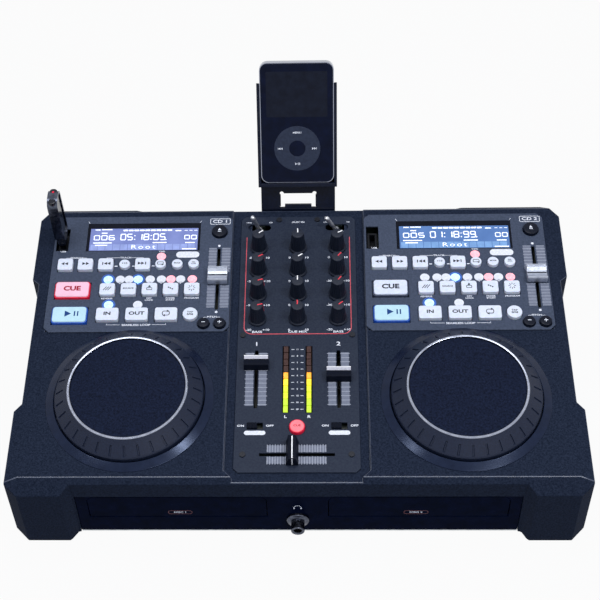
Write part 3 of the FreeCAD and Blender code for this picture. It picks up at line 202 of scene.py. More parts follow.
# ---- inside the case
# Pressed steel drive frames, the disc mechanisms on their rubber-mounted
# sleds, dark green circuit boards with their parts, and the power supply.
board_laminate = finish("solder_masked_laminate", ("#030c0b", "#071712"), 3.0, (0.4, 0.55))
supply_laminate = finish("paper_phenolic_laminate", ("#4a3420", "#5f4529"), 3.0, (0.45, 0.6))
mechanism_plastic = finish("glass_filled_nylon", ("#18191c", "#2b2c30"), 1.5, (0.4, 0.55),
                           relief=0.02)
use_material(galvanised_steel, "drive_chassis")
use_material(mechanism_plastic, "disc_mechanisms")
use_material(board_laminate, "circuit_boards")
use_material(supply_laminate, "power_supply")

# ---- front panel
# A strip of polished black ABS across the front, with the two drawer fronts
# set into it and the headphone socket in the middle.
polished_black = finish("polished_black_abs", ("#030a1e", "#060f28"), 8.0, (0.2, 0.28),
                        specular=0.03, IOR=1.2)
eased_copy("front_panel", "console", polished_black, 0.4)

# ---- disc drawers
# Each drawer is moulded in the same black ABS, with a 120 mm well for a disc
# and a shallow 80 mm one inside it; its polished front closes the slot and
# has the drawer's number screen-printed on it, in a thin brown ring.
for side in ("left", "right"):
    eased_copy(f"tray_{side}", f"drawer_{side}", polished_black, 0.5)

INK = 0.06


def add_shape(whole, shape):
    """Move a finished shape into a larger one."""
    mesh = bpy.data.meshes.new("passing")
    shape.to_mesh(mesh)
    shape.free()
    whole.from_mesh(mesh)
    bpy.data.meshes.remove(mesh)


def block(x, v, width, depth, height, low):
    """A plain block standing on low, and its four upright edges."""
    shape = bmesh.new()
    bmesh.ops.create_cube(shape, size=1.0, matrix=Matrix.Translation(
        (x, v, low + height / 2)) @ Matrix.Diagonal((width, depth, height, 1)))
    uprights = [edge for edge in shape.edges
                if abs(edge.verts[0].co.z - edge.verts[1].co.z) > height / 2]
    return shape, uprights


def rounded_block(whole, x, v, size, low, corner, rim=0.0, rim_steps=2):
    """A block standing on low with rounded upright corners and an eased top."""
    shape, uprights = block(x, v, *size, low)
    if corner:
        bevel(shape, uprights, corner, 5)
    if rim:
        top = low + size[2] - 0.001
        ring = [edge for edge in shape.edges
                if min(vert.co.z for vert in edge.verts) > top and edge.calc_face_angle() > 1]
        bevel(shape, ring, rim, rim_steps)
    add_shape(whole, shape)


def blocks(*rows):
    """A shape of rounded blocks, from a row of values for each."""
    shape = bmesh.new()
    for row in rows:
        rounded_block(shape, *row)
    return shape


def lettering(whole, words, height, x, v, level, wide=1.25, weight=0.022, spacing=1.0):
    """Printed words: cap height in mm, as thin as a coat of ink."""
    curve = bpy.data.curves.new("words", "FONT")
    curve.body = words
    curve.align_x = "CENTER"
    curve.align_y = "CENTER"
    curve.space_character = spacing
    curve.extrude = 0.5
    curve.offset = weight
    curve.resolution_u = 3
    typeset = bpy.data.objects.new("words", curve)
    bpy.context.scene.collection.objects.link(typeset)
    bpy.context.view_layer.update()
    mesh = bpy.data.meshes.new_from_object(typeset)
    bpy.data.objects.remove(typeset)
    bpy.data.curves.remove(curve)
    cap_height = 0.69
    scale = height / cap_height
    mesh.transform(Matrix.Translation((x, v, level + INK / 2))
                   @ Matrix.Diagonal((scale * wide, scale, INK, 1)))
    whole.from_mesh(mesh)
    bpy.data.meshes.remove(mesh)


def bar(whole, x, v, width, depth, level, turn=0.0):
    """A printed bar."""
    bmesh.ops.create_cube(whole, size=1.0, matrix=Matrix.Translation((x, v, level + INK / 2))
                          @ Matrix.Rotation(math.radians(turn), 4, "Z")
                          @ Matrix.Diagonal((width, depth, INK, 1)))


def dot(whole, x, v, radius, level, gauge=INK, sides=40, turn=0.0):
    """A printed dot, or a triangle when it has three sides."""
    bmesh.ops.create_cone(whole, cap_ends=True, segments=sides, radius1=radius, radius2=radius,
                          depth=gauge, matrix=Matrix.Translation((x, v, level + gauge / 2))
                          @ Matrix.Rotation(math.radians(turn), 4, "Z"))


def outline(whole, x, v, width, depth, corner, line, level, gauge=INK):
    """A printed rounded frame of one line width."""
    shape, uprights = block(x, v, width, depth, gauge, level)
    bevel(shape, uprights, corner, 6)
    lids = [face for face in shape.faces if abs(face.normal.z) > 0.9]
    for lid in lids:
        bmesh.ops.inset_region(shape, faces=[lid], thickness=line, use_even_offset=True)
    bmesh.ops.bridge_loops(shape, edges=list({edge for lid in lids for edge in lid.edges}))
    bmesh.ops.delete(shape, geom=lids, context="FACES")
    add_shape(whole, shape)


white_ink = finish("white_screen_ink", ("#ccd2e2", "#e2e7f4"), 1.5, (0.5, 0.62), specular=0.2)
brown_ink = finish("red_brown_screen_ink", ("#5c2f38", "#6c3a43"), 1.5, (0.5, 0.62))
FRONT = HOUSING @ Matrix.Translation((0, 7.2, 0)) @ Matrix.Rotation(math.radians(90), 4, "X")
DISC_LABEL_V = 30.5
for side, x, number in (("left", -91.6, 1), ("right", 91.6, 2)):
    words = bmesh.new()
    lettering(words, f"DISC {number}", 1.9, x, DISC_LABEL_V, 0.0)
    make_piece(words, f"drawer_print_{side}", f"drawer_{side}", white_ink, FRONT)
    ring = bmesh.new()
    outline(ring, x, DISC_LABEL_V, 19.0, 4.8, 2.3, 0.35, 0.0)
    make_piece(ring, f"drawer_pill_{side}", f"drawer_{side}", brown_ink, FRONT)

# ---- headphone socket
# A 6.3 mm socket: a turned, blackened barrel with a stepped ring nut against
# the panel, and the sign of a pair of headphones printed above it.
WELD = 0.0005


def turned(profile, steps=64, x=0.0, v=0.0):
    """A shape spun about the upright axis at x, v from radii and heights; a
    profile that ends where it starts makes a ring."""
    shape = bmesh.new()
    points = profile[:-1] if profile[0] == profile[-1] else profile
    verts = [shape.verts.new((radius, 0, height)) for radius, height in points]
    edges = [shape.edges.new(pair) for pair in zip(verts, verts[1:])]
    if len(points) < len(profile):
        edges.append(shape.edges.new((verts[-1], verts[0])))
    bmesh.ops.spin(shape, geom=verts + edges, cent=(0, 0, 0), axis=(0, 0, 1),
                   angle=math.tau, steps=steps, use_merge=True)
    bmesh.ops.remove_doubles(shape, verts=shape.verts, dist=WELD)
    bmesh.ops.translate(shape, vec=(x, v, 0), verts=shape.verts)
    return shape


def on_circle(x, v, radius, degrees):
    """A point on a circle about x, v."""
    angle = math.radians(degrees)
    return x + radius * math.cos(angle), v + radius * math.sin(angle)


nickel = finish("nickel_plated_brass", ("#b0b5c2", "#d2d5dd"), 2.0, (0.36, 0.46), Metallic=1.0)
black_nickel = finish("black_nickel_plate", ("#3c404c", "#5c616e"), 2.0, (0.22, 0.34),
                      Metallic=1.0)
socket_dark = finish("socket_thermoplastic", ("#08090b", "#121317"), 1.0, (0.35, 0.5))
JACK = at(FRONT, 0, 20.5)
barrel = turned([(3.2, -16), (3.2, 10.6), (3.9, 11.2), (5.0, 11.2), (5.3, 10.8), (5.3, 3.0),
                 (6.1, 3.0), (6.6, 2.6), (8.2, 2.2), (8.7, 1.6), (8.7, 0.0), (5.2, 0.0),
                 (5.2, -16), (3.2, -16)])
barrel_piece = make_piece(barrel, "headphone_barrel", "console", black_nickel,
                          JACK)
make_piece(blocks((0, 0, (15.8, 15.8, 20), -20.4, 1.0)), "headphone_body", "console",
           socket_dark, JACK)
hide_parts("headphone_jack")
sign_print = bmesh.new()
for turn in range(0, 181, 20):
    bar(sign_print, *on_circle(0, 37.0, 2.6, turn), 0.5, 1.0, 0.0, turn)
for x in (-2.7, 2.7):
    bar(sign_print, x, 36.2, 1.1, 2.2, 0.0)
make_piece(sign_print, "headphone_sign", "console", white_ink, FRONT)

# ---- deck faceplates
# Two plates of steel sheet, painted satin grey, with the keys' names, scales
# and lamp circles screen-printed on them. Both decks share one layout.
DECK_X = 132.0
DECKS = {"left": at(TOP, -DECK_X, 0), "right": at(TOP, DECK_X, 0)}
PLATE_TOP = 1.5
plate_paint = finish("satin_plate_paint", ("#363f51", "#424b60"), 1.5, (0.42, 0.54),
                     relief=0.015, specular=0.1, IOR=1.5)
for side in DECKS:
    eased_copy(f"faceplate_{side}", "console", plate_paint, 0.25)

grey_ink = finish("grey_screen_ink", ("#8f95a6", "#9ba1b2"), 1.5, (0.5, 0.62), specular=0.2)
faint_ink = finish("faint_screen_ink", ("#646b7e", "#6e7588"), 1.5, (0.5, 0.62), specular=0.2)
TOP_ROW, MIDDLE_ROW, LOW_ROW = 201.2, 175.0, 149.4
START_X = -55.5
LOOP_X = (-24.2, 0.0, 24.2)
MINUS_X, PLUS_X = 55.2, 68.4
PITCH_X = 65.2
LABEL_V, TITLE_V, LOOP_LABEL_V = 209.6, 248.3, 140.2
RULE = 0.35
deck_words = (("SEARCH", 1.6, START_X, LABEL_V), ("TRACK", 1.6, -13.8, LABEL_V),
              ("SEAMLESS LOOP", 1.8, 0.0, 139.9), ("PITCH", 1.6, 61.8, 147.6),
              ("TIME", 1.4, 16.5, 216.0), ("REVERSE", 1.4, -26.3, 166.9),
              ("KEY", 1.4, 8.9, 167.0), ("LOCK", 1.4, 8.9, 165.0),
              ("FADER", 1.4, 26.5, 167.0), ("START", 1.4, 26.5, 165.0),
              ("PROGRAM", 1.4, 44.1, 166.9))
for side, deck in DECKS.items():
    title, socket_label_v = ("CD 1", 216.6) if side == "left" else ("CD 2", 218.0)
    ink = bmesh.new()
    for words, height, x, v in (*deck_words, ("USB", 1.5, -67.6, socket_label_v)):
        lettering(ink, words, height, x, v, PLATE_TOP)
    lettering(ink, title, 3.0, PITCH_X, TITLE_V, PLATE_TOP, 1.35)
    outline(ink, PITCH_X, TITLE_V, 17.4, 6.4, 1.2, 0.5, PLATE_TOP)
    rounded_block(ink, 38.8, 212.5, (19.6, 6.5, INK), PLATE_TOP, 3.1)
    for v in (152.6, 221.6):
        dot(ink, PITCH_X, v, 1.1, PLATE_TOP)
    # A bracket runs out from each side of a word to the keys that it names.
    for left, right, v, gap in ((-64, -47, LABEL_V, 4.6), (-29.8, 1.4, LABEL_V, 4.2),
                                (-24.2, 24.2, LOOP_LABEL_V, 13.0),
                                (MINUS_X, PLUS_X, 147.4, 4.4)):
        middle = (left + right) / 2
        for near, far in ((left, middle - gap), (middle + gap, right)):
            bar(ink, (near + far) / 2, v, far - near, RULE, PLATE_TOP)
        drop = 1.2 if v == LOOP_LABEL_V else -1.2
        for x in (left, right):
            bar(ink, x, v + drop / 2, RULE, abs(drop), PLATE_TOP)
    for x in (-21.2, -6.3, 10.3):
        bar(ink, x, TOP_ROW - 0.6, 2.6, 0.9, PLATE_TOP)
    for x, turn in ((-48.2, -55), (48.6, 55)):
        bar(ink, x, 248.4, 2.6, RULE, PLATE_TOP, turn)
    make_piece(ink, f"deck_print_{side}", "console", white_ink, deck)

    # The pitch scale: pale fields beside the slot, ruled with finer lines.
    fields = bmesh.new()
    lines = bmesh.new()
    mark_step = 3.1
    for near, far in ((-8.4, -1.9), (2.6, 9.6)):
        middle = PITCH_X + (near + far) / 2
        for low, high in ((157.4, 178.6), (194.2, 219.0)):
            bar(fields, middle, (low + high) / 2, far - near, high - low, PLATE_TOP)
            for i in range(round((high - low) / mark_step) + 1):
                reach = 0.7 if i % 2 else 0.0
                bar(lines, middle, low + mark_step * i, far - near + reach, 0.5,
                    PLATE_TOP + 0.02)
    bar(lines, PITCH_X, 195.3, 17.6, 1.3, PLATE_TOP + 0.04)
    make_piece(fields, f"pitch_scale_fill_{side}", "console", faint_ink, deck)
    make_piece(lines, f"pitch_scale_lines_{side}", "console", grey_ink, deck)

# ---- lamps
# A white ink disc is printed round each small lens; a lit lens floods its
# disc with light, blue or red seen as pink.
lens_finishes = {
    "blue": finish("lit_blue_lens", ("#9fd2ff", "#c8e8ff"), 2.0, (0.3, 0.4),
                   glow=("#a8dcff", 0.55)),
    "pink": finish("lit_red_lens", ("#ff9dad", "#ffb9c4"), 2.0, (0.3, 0.4),
                   glow=("#ffaab8", 0.35)),
    "dark": finish("unlit_lens_over_ink", ("#cfd5e6", "#dce1ee"), 1.5, (0.35, 0.5),
                   specular=0.3),
}
glow_blue = finish("blue_light_on_paint", ("#1d4488", "#275ab0"), 2.0, (0.5, 0.6),
                   glow=("#1c4aa0", 0.25))
LAMP_ROW, LOOP_LAMP_V = 186.6, 160.4
time_lamp = (16.5, 210.7)
lamps = [(x, LAMP_ROW) for x in (-26.7, -16.5, -9.1, -1.5, 8.6, 18.0, 26.0, 34.1, 43.9)]
lamps += [(x, LOOP_LAMP_V) for x in LOOP_X[:2]] + [time_lamp]
pink_lamps = ((26.0, LAMP_ROW), (43.9, LAMP_ROW), time_lamp)
blue_lamps = {"right": [(-1.5, LAMP_ROW), (LOOP_X[0], LOOP_LAMP_V)]}
blue_lamps["left"] = blue_lamps["right"] + [(-26.7, LAMP_ROW)]
for side, deck in DECKS.items():
    lenses = {lit: bmesh.new() for lit in lens_finishes}
    glow = bmesh.new()
    for x, v in lamps:
        lit = ("blue" if (x, v) in blue_lamps[side]
               else "pink" if (x, v) in pink_lamps else "dark")
        dot(lenses[lit], x, v, 3.9, PLATE_TOP, 0.1)
        dot(lenses[lit], x, v - 3.4, 1.6, PLATE_TOP, 0.1, sides=3, turn=180)
        add_shape(lenses[lit], turned([(0, 1.9), (0.9, 1.82), (1.5, 1.5), (1.5, -1.5),
                                       (0, -1.5)], 20, x, v))
        if lit == "blue":
            dot(glow, x, v, 5.6, PLATE_TOP, 0.05)
    for lit, material in lens_finishes.items():
        piece = make_piece(lenses[lit], f"lenses_{lit}_{side}", "console", material,
                           deck)
        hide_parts("indicator_lenses")
    make_piece(glow, f"lamp_glow_{side}", "console", glow_blue, deck)

# ---- displays
# A backlit liquid crystal behind a black-printed acrylic window.  The lit
# digits are drawn as the seven-segment strokes of such a panel.
window_acrylic = finish("black_backed_acrylic", ("#070b16", "#0c1120"), 8.0, (0.1, 0.16),
                        specular=0.1, IOR=1.49)
use_material(window_acrylic, "display_modules")
lit_digits = finish("lit_crystal_strokes", ("#e4ecff", "#f4f7ff"), 3.0, (0.3, 0.4),
                    glow=("#dfe8ff", 0.45))
WINDOW_TOP = 1.2
CELL_TOP = WINDOW_TOP + 0.04
FIGURE_TOP = WINDOW_TOP + 0.1
SEGMENTS = {"0": "abcdef", "1": "bc", "5": "acdfg", "6": "acdefg", "8": "abcdefg",
            "9": "abcdfg"}


def digit(whole, figure, x, v, width, height, line):
    """One seven-segment figure, centred at x, v."""
    reach = width / 2 - line / 2
    rise = height / 2 - line / 2
    strokes = {"a": (0, rise), "g": (0, 0), "d": (0, -rise), "f": (-reach, rise / 2),
               "b": (reach, rise / 2), "e": (-reach, -rise / 2), "c": (reach, -rise / 2)}
    for name in SEGMENTS[figure]:
        across, up = strokes[name]
        level_stroke = name in "agd"
        bar(whole, x + across, v + up, width - 1.3 * line if level_stroke else line,
            line if level_stroke else rise - 0.35 * line, FIGURE_TOP)


# Each deck's track, minutes, seconds and frames, and the tints of its crystal:
# the lit field, its backlight, and the paler cells under the folder's name.
displays = {
    "left": ("006", "05 18 05", ("#525c8c", "#646e9c"), "#7f8cc8", ("#6f7ba8", "#8492c4")),
    "right": ("005", "01 18 99", ("#36527f", "#425e8c"), "#6385c0", ("#5a7aa6", "#6c8fbc"))}
for side, deck in DECKS.items():
    track, clock, field_tints, backlight, cell_tints = displays[side]
    crystal = finish(f"backlit_crystal_{side}", field_tints, 14.0, (0.2, 0.26), specular=0.1,
                     glow=(backlight, 0.5))
    pale_cell = finish(f"pale_crystal_cell_{side}", cell_tints, 6.0, (0.2, 0.26), specular=0.1,
                       glow=(cell_tints[1], 0.5))
    field = bmesh.new()
    bar(field, 0.25, 229.6, 92.5, 23.8, WINDOW_TOP)
    make_piece(field, f"crystal_{side}", "console", crystal, deck)
    cells = bmesh.new()
    for i in range(14):
        bar(cells, -42.0 + 6.4 * i, 221.2, 5.8, 6.2, CELL_TOP)
    make_piece(cells, f"crystal_cells_{side}", "console", pale_cell, deck)
    figures = bmesh.new()
    for i, figure in enumerate(track):
        digit(figures, figure, -40.2 + 6.4 * i, 231.6, 5.4, 5.6, 0.9)
    # A space in the clock takes up less room than a figure does.
    for i, figure in enumerate(clock):
        if figure != " ":
            gaps = clock[:i].count(" ")
            digit(figures, figure, -17.6 + 5.75 * i - 3.2 * gaps, 232.2, 5.0, 7.2, 0.95)
    for i in range(2):
        digit(figures, "0", 37.2 + 5.9 * i, 231.6, 4.9, 5.0, 0.85)
    for x, v in ((-7.7, 229.6), (-7.7, 233.6), (6.35, 229.6), (6.35, 233.6), (19.2, 229.2)):
        bar(figures, x, v, 1.0, 1.0, FIGURE_TOP)
    for i in range(9):
        bar(figures, -16.0 + 4.75 * i, 239.4, 4.0, 1.6, FIGURE_TOP)
    lettering(figures, "Root", 4.2, 0.1, 221.2, FIGURE_TOP, 1.4, 0.0, 1.3)
    for x, v, width in ((-40, 240.2, 4.4), (-32.0, 240.4, 9.0), (-34, 236.6, 5.0),
                        (-35, 225.9, 16), (-36, 223.4, 10.5), (14, 225.9, 12.0),
                        (40, 225.7, 8.2), (39.5, 218.9, 12.0), (29.4, 238.8, 5.0)):
        bar(figures, x, v, width, 1.1, FIGURE_TOP)
    for x in (36.0, 40.2, 44.4):
        bar(figures, x, 239.0, 2.6, 0.6, FIGURE_TOP)
    make_piece(figures, f"crystal_figures_{side}", "console", lit_digits, deck)

# ---- function keys
# Seventeen translucent silicone keys stand through each plate: squares,
# wide loop keys and small round ones, with their signs printed on top.
KEY_TOP = 4.5
KEY_FOOT = -2.0
KEY_HEIGHT = KEY_TOP - KEY_FOOT
key_silicone = finish("pale_silicone_key", ("#cdd4e8", "#d8def0"), 2.5, (0.45, 0.58),
                      relief=0.02, specular=0.25, Subsurface_Weight=0.06, IOR=1.41)
key_ink = finish("dark_key_ink", ("#141927", "#1e2434"), 1.5, (0.5, 0.6), specular=0.2)
TAP_X = 44.0
square_keys = ([(x, TOP_ROW) for x in (-64.0, -47.0, -29.8, 1.4)]
               + [(-26.3 + 17.6 * i, MIDDLE_ROW) for i in range(5)])
round_keys = [(x, TOP_ROW, 4.6) for x in (-13.8, 16.5, 30.6, 44.4)] + [(TAP_X, LOW_ROW, 6.2)]


def domed_key(whole, x, v, radius, rim=0.8):
    """A round key with a softened rim."""
    add_shape(whole, turned([(0, KEY_TOP), (radius - rim, KEY_TOP),
                             (radius - 0.3 * rim, KEY_TOP - 0.3 * rim), (radius, KEY_TOP - rim),
                             (radius, KEY_FOOT), (0, KEY_FOOT)], 40, x, v))


def arrow(whole, x, v, size, turn, level):
    """A printed triangle that points along +X turned by an angle."""
    dot(whole, x, v, size, level, sides=3, turn=turn - 90)


for side, deck in DECKS.items():
    keys = blocks(*((x, v, (12.8, 12.0, KEY_HEIGHT), KEY_FOOT, 2.0, 0.7)
                    for x, v in square_keys),
                  *((x, LOW_ROW, (18.6, 12.7, KEY_HEIGHT), KEY_FOOT, 2.0, 0.7)
                    for x in LOOP_X))
    for x, v, radius in round_keys:
        domed_key(keys, x, v, radius)
    piece = make_piece(keys, f"function_key_tops_{side}", "console", key_silicone, deck)
    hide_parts(f"function_keys_{side}")

    signs = bmesh.new()
    # Top row: search and track arrows, then the four round keys.
    sign_v = TOP_ROW + 0.2
    for x, turn in ((-65.5, 180), (-62.5, 180), (-48.5, 0), (-45.5, 0), (-29.4, 180),
                    (-26.6, 180), (-1.6, 0), (1.2, 0)):
        arrow(signs, x, sign_v, 1.8, turn, KEY_TOP)
    for x in (-32.2, 4.0):
        bar(signs, x, sign_v, 0.8, 2.8, KEY_TOP)
    outline(signs, 16.5, sign_v, 5.4, 3.0, 0.8, 0.5, KEY_TOP)
    arrow(signs, 18.4, 199.9, 1.1, 0, KEY_TOP)
    # Middle row: three strokes, a word, a lock, three steps and a star.
    for x in (-28.2, -26.3, -24.4):
        bar(signs, x, 175.2, 0.6, 4.4, KEY_TOP, -38)
    outline(signs, 8.9, 174.6, 4.8, 2.6, 0.7, 0.5, KEY_TOP)
    arrow(signs, 8.9, 177.0, 1.5, 90, KEY_TOP)
    for x, v in ((24.9, 176.0), (26.5, 175.2), (28.1, 174.4)):
        bar(signs, x, v, 1.2, 1.2, KEY_TOP)
    for turn in range(0, 360, 45):
        bar(signs, *on_circle(44.1, 175.2, 2.3, turn), 1.6, 0.5, KEY_TOP, turn)
    # Low row: the loop keys, the last one with a ring of two arrows.
    outline(signs, LOOP_X[2], 149.6, 6.4, 4.6, 1.8, 0.6, KEY_TOP)
    arrow(signs, 25.6, 151.8, 1.3, 0, KEY_TOP)
    arrow(signs, 22.8, 147.4, 1.3, 180, KEY_TOP)
    for words, height, x, v, *style in (
            ("+10", 1.7, -13.8, sign_v, 1.2), ("MODE", 1.2, 30.6, sign_v, 1.1),
            ("SGL", 1.2, 44.4, 202.3, 1.1), ("CTN", 1.2, 44.4, 200.5, 1.1),
            ("SOURCE", 1.4, -8.7, 175.2, 1.15), ("IN", 3.1, LOOP_X[0], 149.6, 1.35, 0.03),
            ("OUT", 3.1, LOOP_X[1], 149.6, 1.35, 0.03), ("TAP", 1.6, TAP_X, 150.6, 1.2),
            ("BPM", 1.6, TAP_X, 148.3, 1.2)):
        lettering(signs, words, height, x, v, KEY_TOP, *style)
    make_piece(signs, f"function_key_signs_{side}", "console", key_ink, deck)

# ---- pitch bend keys and eject keys
# Small black domed keys: minus and plus under the pitch fader, and one with a
# triangle for the drawer above it.
BEND_V, BEND_SIGN_V = 140.5, 140.7
EJECT_X = 65.1
black_key_plastic = finish("black_key_abs", ("#090e1b", "#101625"), 1.2, (0.3, 0.42),
                           specular=0.1, IOR=1.53)
for side, deck in DECKS.items():
    bend = bmesh.new()
    for x in (MINUS_X, PLUS_X):
        domed_key(bend, x, BEND_V, 5.0, 1.2)
    piece = make_piece(bend, f"bend_key_tops_{side}", "console",
                       black_key_plastic, deck)
    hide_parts(f"bend_keys_{side}")
    signs = bmesh.new()
    bar(signs, MINUS_X, BEND_SIGN_V, 2.8, 0.6, KEY_TOP)
    bar(signs, PLUS_X, BEND_SIGN_V, 3.0, 0.6, KEY_TOP)
    bar(signs, PLUS_X, BEND_SIGN_V, 0.6, 3.0, KEY_TOP)
    make_piece(signs, f"bend_key_signs_{side}", "console", white_ink, deck)
    eject = bmesh.new()
    domed_key(eject, EJECT_X, 236.3, 6.6, 1.4)
    piece = make_piece(eject, f"eject_key_top_{side}", f"eject_{side}",
                       black_key_plastic, deck)
    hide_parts(f"eject_key_{side}")
    signs = bmesh.new()
    arrow(signs, EJECT_X, 237.2, 1.7, 90, KEY_TOP)
    bar(signs, EJECT_X, 235.2, 3.0, 0.7, KEY_TOP)
    make_piece(signs, f"eject_key_sign_{side}", f"eject_{side}", white_ink, deck)

# ---- start keys
# The large cue and play keys are clear silicone lit from below: the face
# glows pale and the skirt round it keeps the full colour of its lamp.
lit_red = finish("red_lit_silicone_face", ("#ab8b9f", "#b995a9"), 5.0, (0.4, 0.5),
                 specular=0.2, glow=("#f8c6dc", 0.5), IOR=1.41)
lit_blue = finish("blue_lit_silicone_face", ("#7f9aa8", "#8ba6b2"), 5.0, (0.4, 0.5),
                  specular=0.2, glow=("#c2e7f6", 0.5), IOR=1.41)
red_skirt = finish("red_lit_silicone_skirt", ("#a80f2e", "#c4183a"), 3.0, (0.35, 0.45),
                   glow=("#b4102e", 0.3), IOR=1.41)
blue_skirt = finish("blue_lit_silicone_skirt", ("#123a88", "#1b4ca4"), 3.0, (0.35, 0.45),
                    glow=("#12409a", 0.3), IOR=1.41)
dim_skirt = finish("unlit_silicone_skirt", ("#343b50", "#434b60"), 3.0, (0.4, 0.5),
                   specular=0.2, IOR=1.41)
red_ink = finish("red_key_ink", ("#8c0c26", "#a01430"), 1.5, (0.5, 0.6), specular=0.2)
blue_ink = finish("blue_key_ink", ("#0a3470", "#124080"), 1.5, (0.5, 0.6), specular=0.2)
SKIRT_TOP = 3.2
FACE_FOOT = 3.0
cue_looks = {"left": (lit_red, red_skirt, red_ink), "right": (key_silicone, dim_skirt, key_ink)}
for side, deck in DECKS.items():
    for name, v, looks in (("cue", MIDDLE_ROW, cue_looks[side]),
                           ("play", LOW_ROW, (lit_blue, blue_skirt, blue_ink))):
        face, skirt, sign_ink = looks
        body = f"{name}_{side}"
        piece = make_piece(
            blocks((START_X, v, (29.6, 16.8, SKIRT_TOP - KEY_FOOT), KEY_FOOT, 3.0, 0.6)),
            f"{name}_key_skirt_{side}", body, skirt, deck)
        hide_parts(f"{name}_key_{side}")
        make_piece(blocks((START_X, v, (27.6, 14.8, KEY_TOP - FACE_FOOT), FACE_FOOT, 2.4, 0.8)),
                   f"{name}_key_face_{side}", body, face, deck)
        sign = bmesh.new()
        sign_v = v + 0.3
        if name == "cue":
            lettering(sign, "CUE", 4.3, START_X, sign_v, KEY_TOP, 1.2, 0.04)
        else:
            arrow(sign, -57.4, sign_v, 3.5, 0, KEY_TOP)
            for x in (-51.0, -48.4):
                bar(sign, x, sign_v, 1.1, 4.8, KEY_TOP)
        make_piece(sign, f"{name}_key_sign_{side}", body, sign_ink, deck)

# ---- pitch faders
# A silver-lacquered cap with a groove across it and a black line in the
# groove, on a steel stem that comes up through the slot.
def swept(profile, x, width):
    """A side view of v and height pushed along X, centred on x."""
    shape = bmesh.new()
    ring = [shape.verts.new((x - width / 2, v, height)) for v, height in profile]
    side_face = shape.faces.new(ring)
    pushed = bmesh.ops.extrude_face_region(shape, geom=[side_face])["geom"]
    bmesh.ops.translate(shape, vec=(width, 0, 0),
                        verts=[item for item in pushed if isinstance(item, bmesh.types.BMVert)])
    return shape


silver_lacquer = finish("silver_lacquered_abs", ("#9aa1b2", "#aeb5c5"), 3.0, (0.3, 0.36),
                        Metallic=0.6)
matt_black = finish("matt_black_abs", ("#070b16", "#0d1322"), 1.2, (0.42, 0.56),
                    specular=0.05, IOR=1.53)
PITCH_V = 187.0
for side, deck in DECKS.items():
    here = at(deck, 0, PITCH_V)
    body = f"pitch_{side}"
    cap = swept([(-6.6, 2.1), (8.9, 2.1), (8.9, 6.6), (8.4, 7.4), (7.4, 7.6), (6.8, 7.0),
                 (6.4, 7.4), (5.6, 8.4), (4.6, 8.4), (3.4, 7.5), (1.8, 6.9), (0.7, 6.8),
                 (0.5, 6.2), (-0.5, 6.2), (-0.7, 6.8), (-2.0, 7.0), (-3.8, 7.8), (-5.2, 9.0),
                 (-6.2, 9.2), (-7.0, 8.4), (-7.4, 6.4)], PITCH_X, 16.4)
    bevel(cap, [edge for edge in cap.edges
                if abs(edge.verts[0].co.x - edge.verts[1].co.x) < 0.1], 0.3, 2)
    piece = make_piece(cap, f"pitch_cap_{side}", body, silver_lacquer, here)
    make_piece(blocks((PITCH_X, 0, (15.6, 0.9, 0.2), 6.12, 0)), f"pitch_line_{side}", body,
               matt_black, here)
    make_piece(blocks((PITCH_X, 0, (1.6, 5.0, 11.4), -9.0, 0)), f"pitch_stem_{side}", body,
               galvanised_steel, here)
    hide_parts(f"pitch_fader_{side}")

# ---- memory stick and its socket
# A USB socket opens through each plate; a black memory stick with a dark
# chromed frame round it stands in the left one.
port_black = finish("moulded_socket_black", ("#05070d", "#0a0e18"), 1.2, (0.4, 0.55),
                    specular=0.15)
use_material(port_black, "usb_sockets")
stick_gloss = finish("glossy_black_stick", ("#0a0d18", "#131825"), 6.0, (0.12, 0.2),
                     specular=0.3, IOR=1.5)
stick_metal = finish("dark_chromed_zinc", ("#3c414e", "#5a5f6d"), 3.0, (0.16, 0.26), Metallic=1.0)
STICK = at(TOP, -201.0, 229.5)
FRAME_GAUGE = 8.6
piece = make_piece(blocks((0, 0, (6.6, 16.4, 56.0), 3.4, 2.6, 1.2)), "memory_stick_body",
                   "stick", stick_gloss, STICK)
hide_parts("memory_stick")
band = bmesh.new()
outline(band, 0, 0, 52.0, 18.0, 7.0, 1.6, -FRAME_GAUGE / 2, FRAME_GAUGE)
make_piece(band, "memory_stick_frame", "stick", stick_metal,
           at(STICK, 0, 0, 33.6) @ Matrix.Rotation(math.radians(90), 4, "Y"))
make_piece(blocks((0, 0, (4.3, 11.9, 13.0), -9.4, 0.3)), "memory_stick_plug", "stick",
           stick_metal, STICK)
lamp = bmesh.new()
dot(lamp, 0, 4.0, 1.0, 59.4, 0.2)
make_piece(lamp, "memory_stick_lamp", "stick", red_skirt, STICK)

# ---- jog wheels
# A coned satin ring is let into the top; the wheel in it has a grooved rubber
# flank, a bright turned lip, and a matt disc on top for the fingertips.
bezel_gloss = finish("satin_ring_abs", ("#0a1226", "#10192f"), 6.0, (0.22, 0.26),
                     specular=0.4, IOR=1.5, Specular_Tint=colour("#a0b0d4"))
flank_rubber = finish("ribbed_wheel_rubber", ("#10172a", "#192237"), 1.0, (0.4, 0.5),
                      relief=0.02, specular=0.22)
lip_gloss = finish("chromed_lip", ("#8c92a4", "#a2a8b8"), 6.0, (0.2, 0.26), Metallic=1.0)
disc_vinyl = finish("grained_vinyl_disc", ("#0a1020", "#182036"), 1.5, (0.54, 0.68),
                    relief=0.06, specular=0.04)
JOG_V = 70.4
GROOVES = 32
STEPS_PER_GROOVE = 6


def every_few_steps(faces, steps, few):
    """Of a turned shape's faces, those in the first of every few steps."""
    chosen = []
    for face in faces:
        middle = face.calc_center_median()
        degrees = math.degrees(math.atan2(middle.y, middle.x)) % 360
        if int(degrees / 360 * steps) % few == 0:
            chosen.append(face)
    return chosen


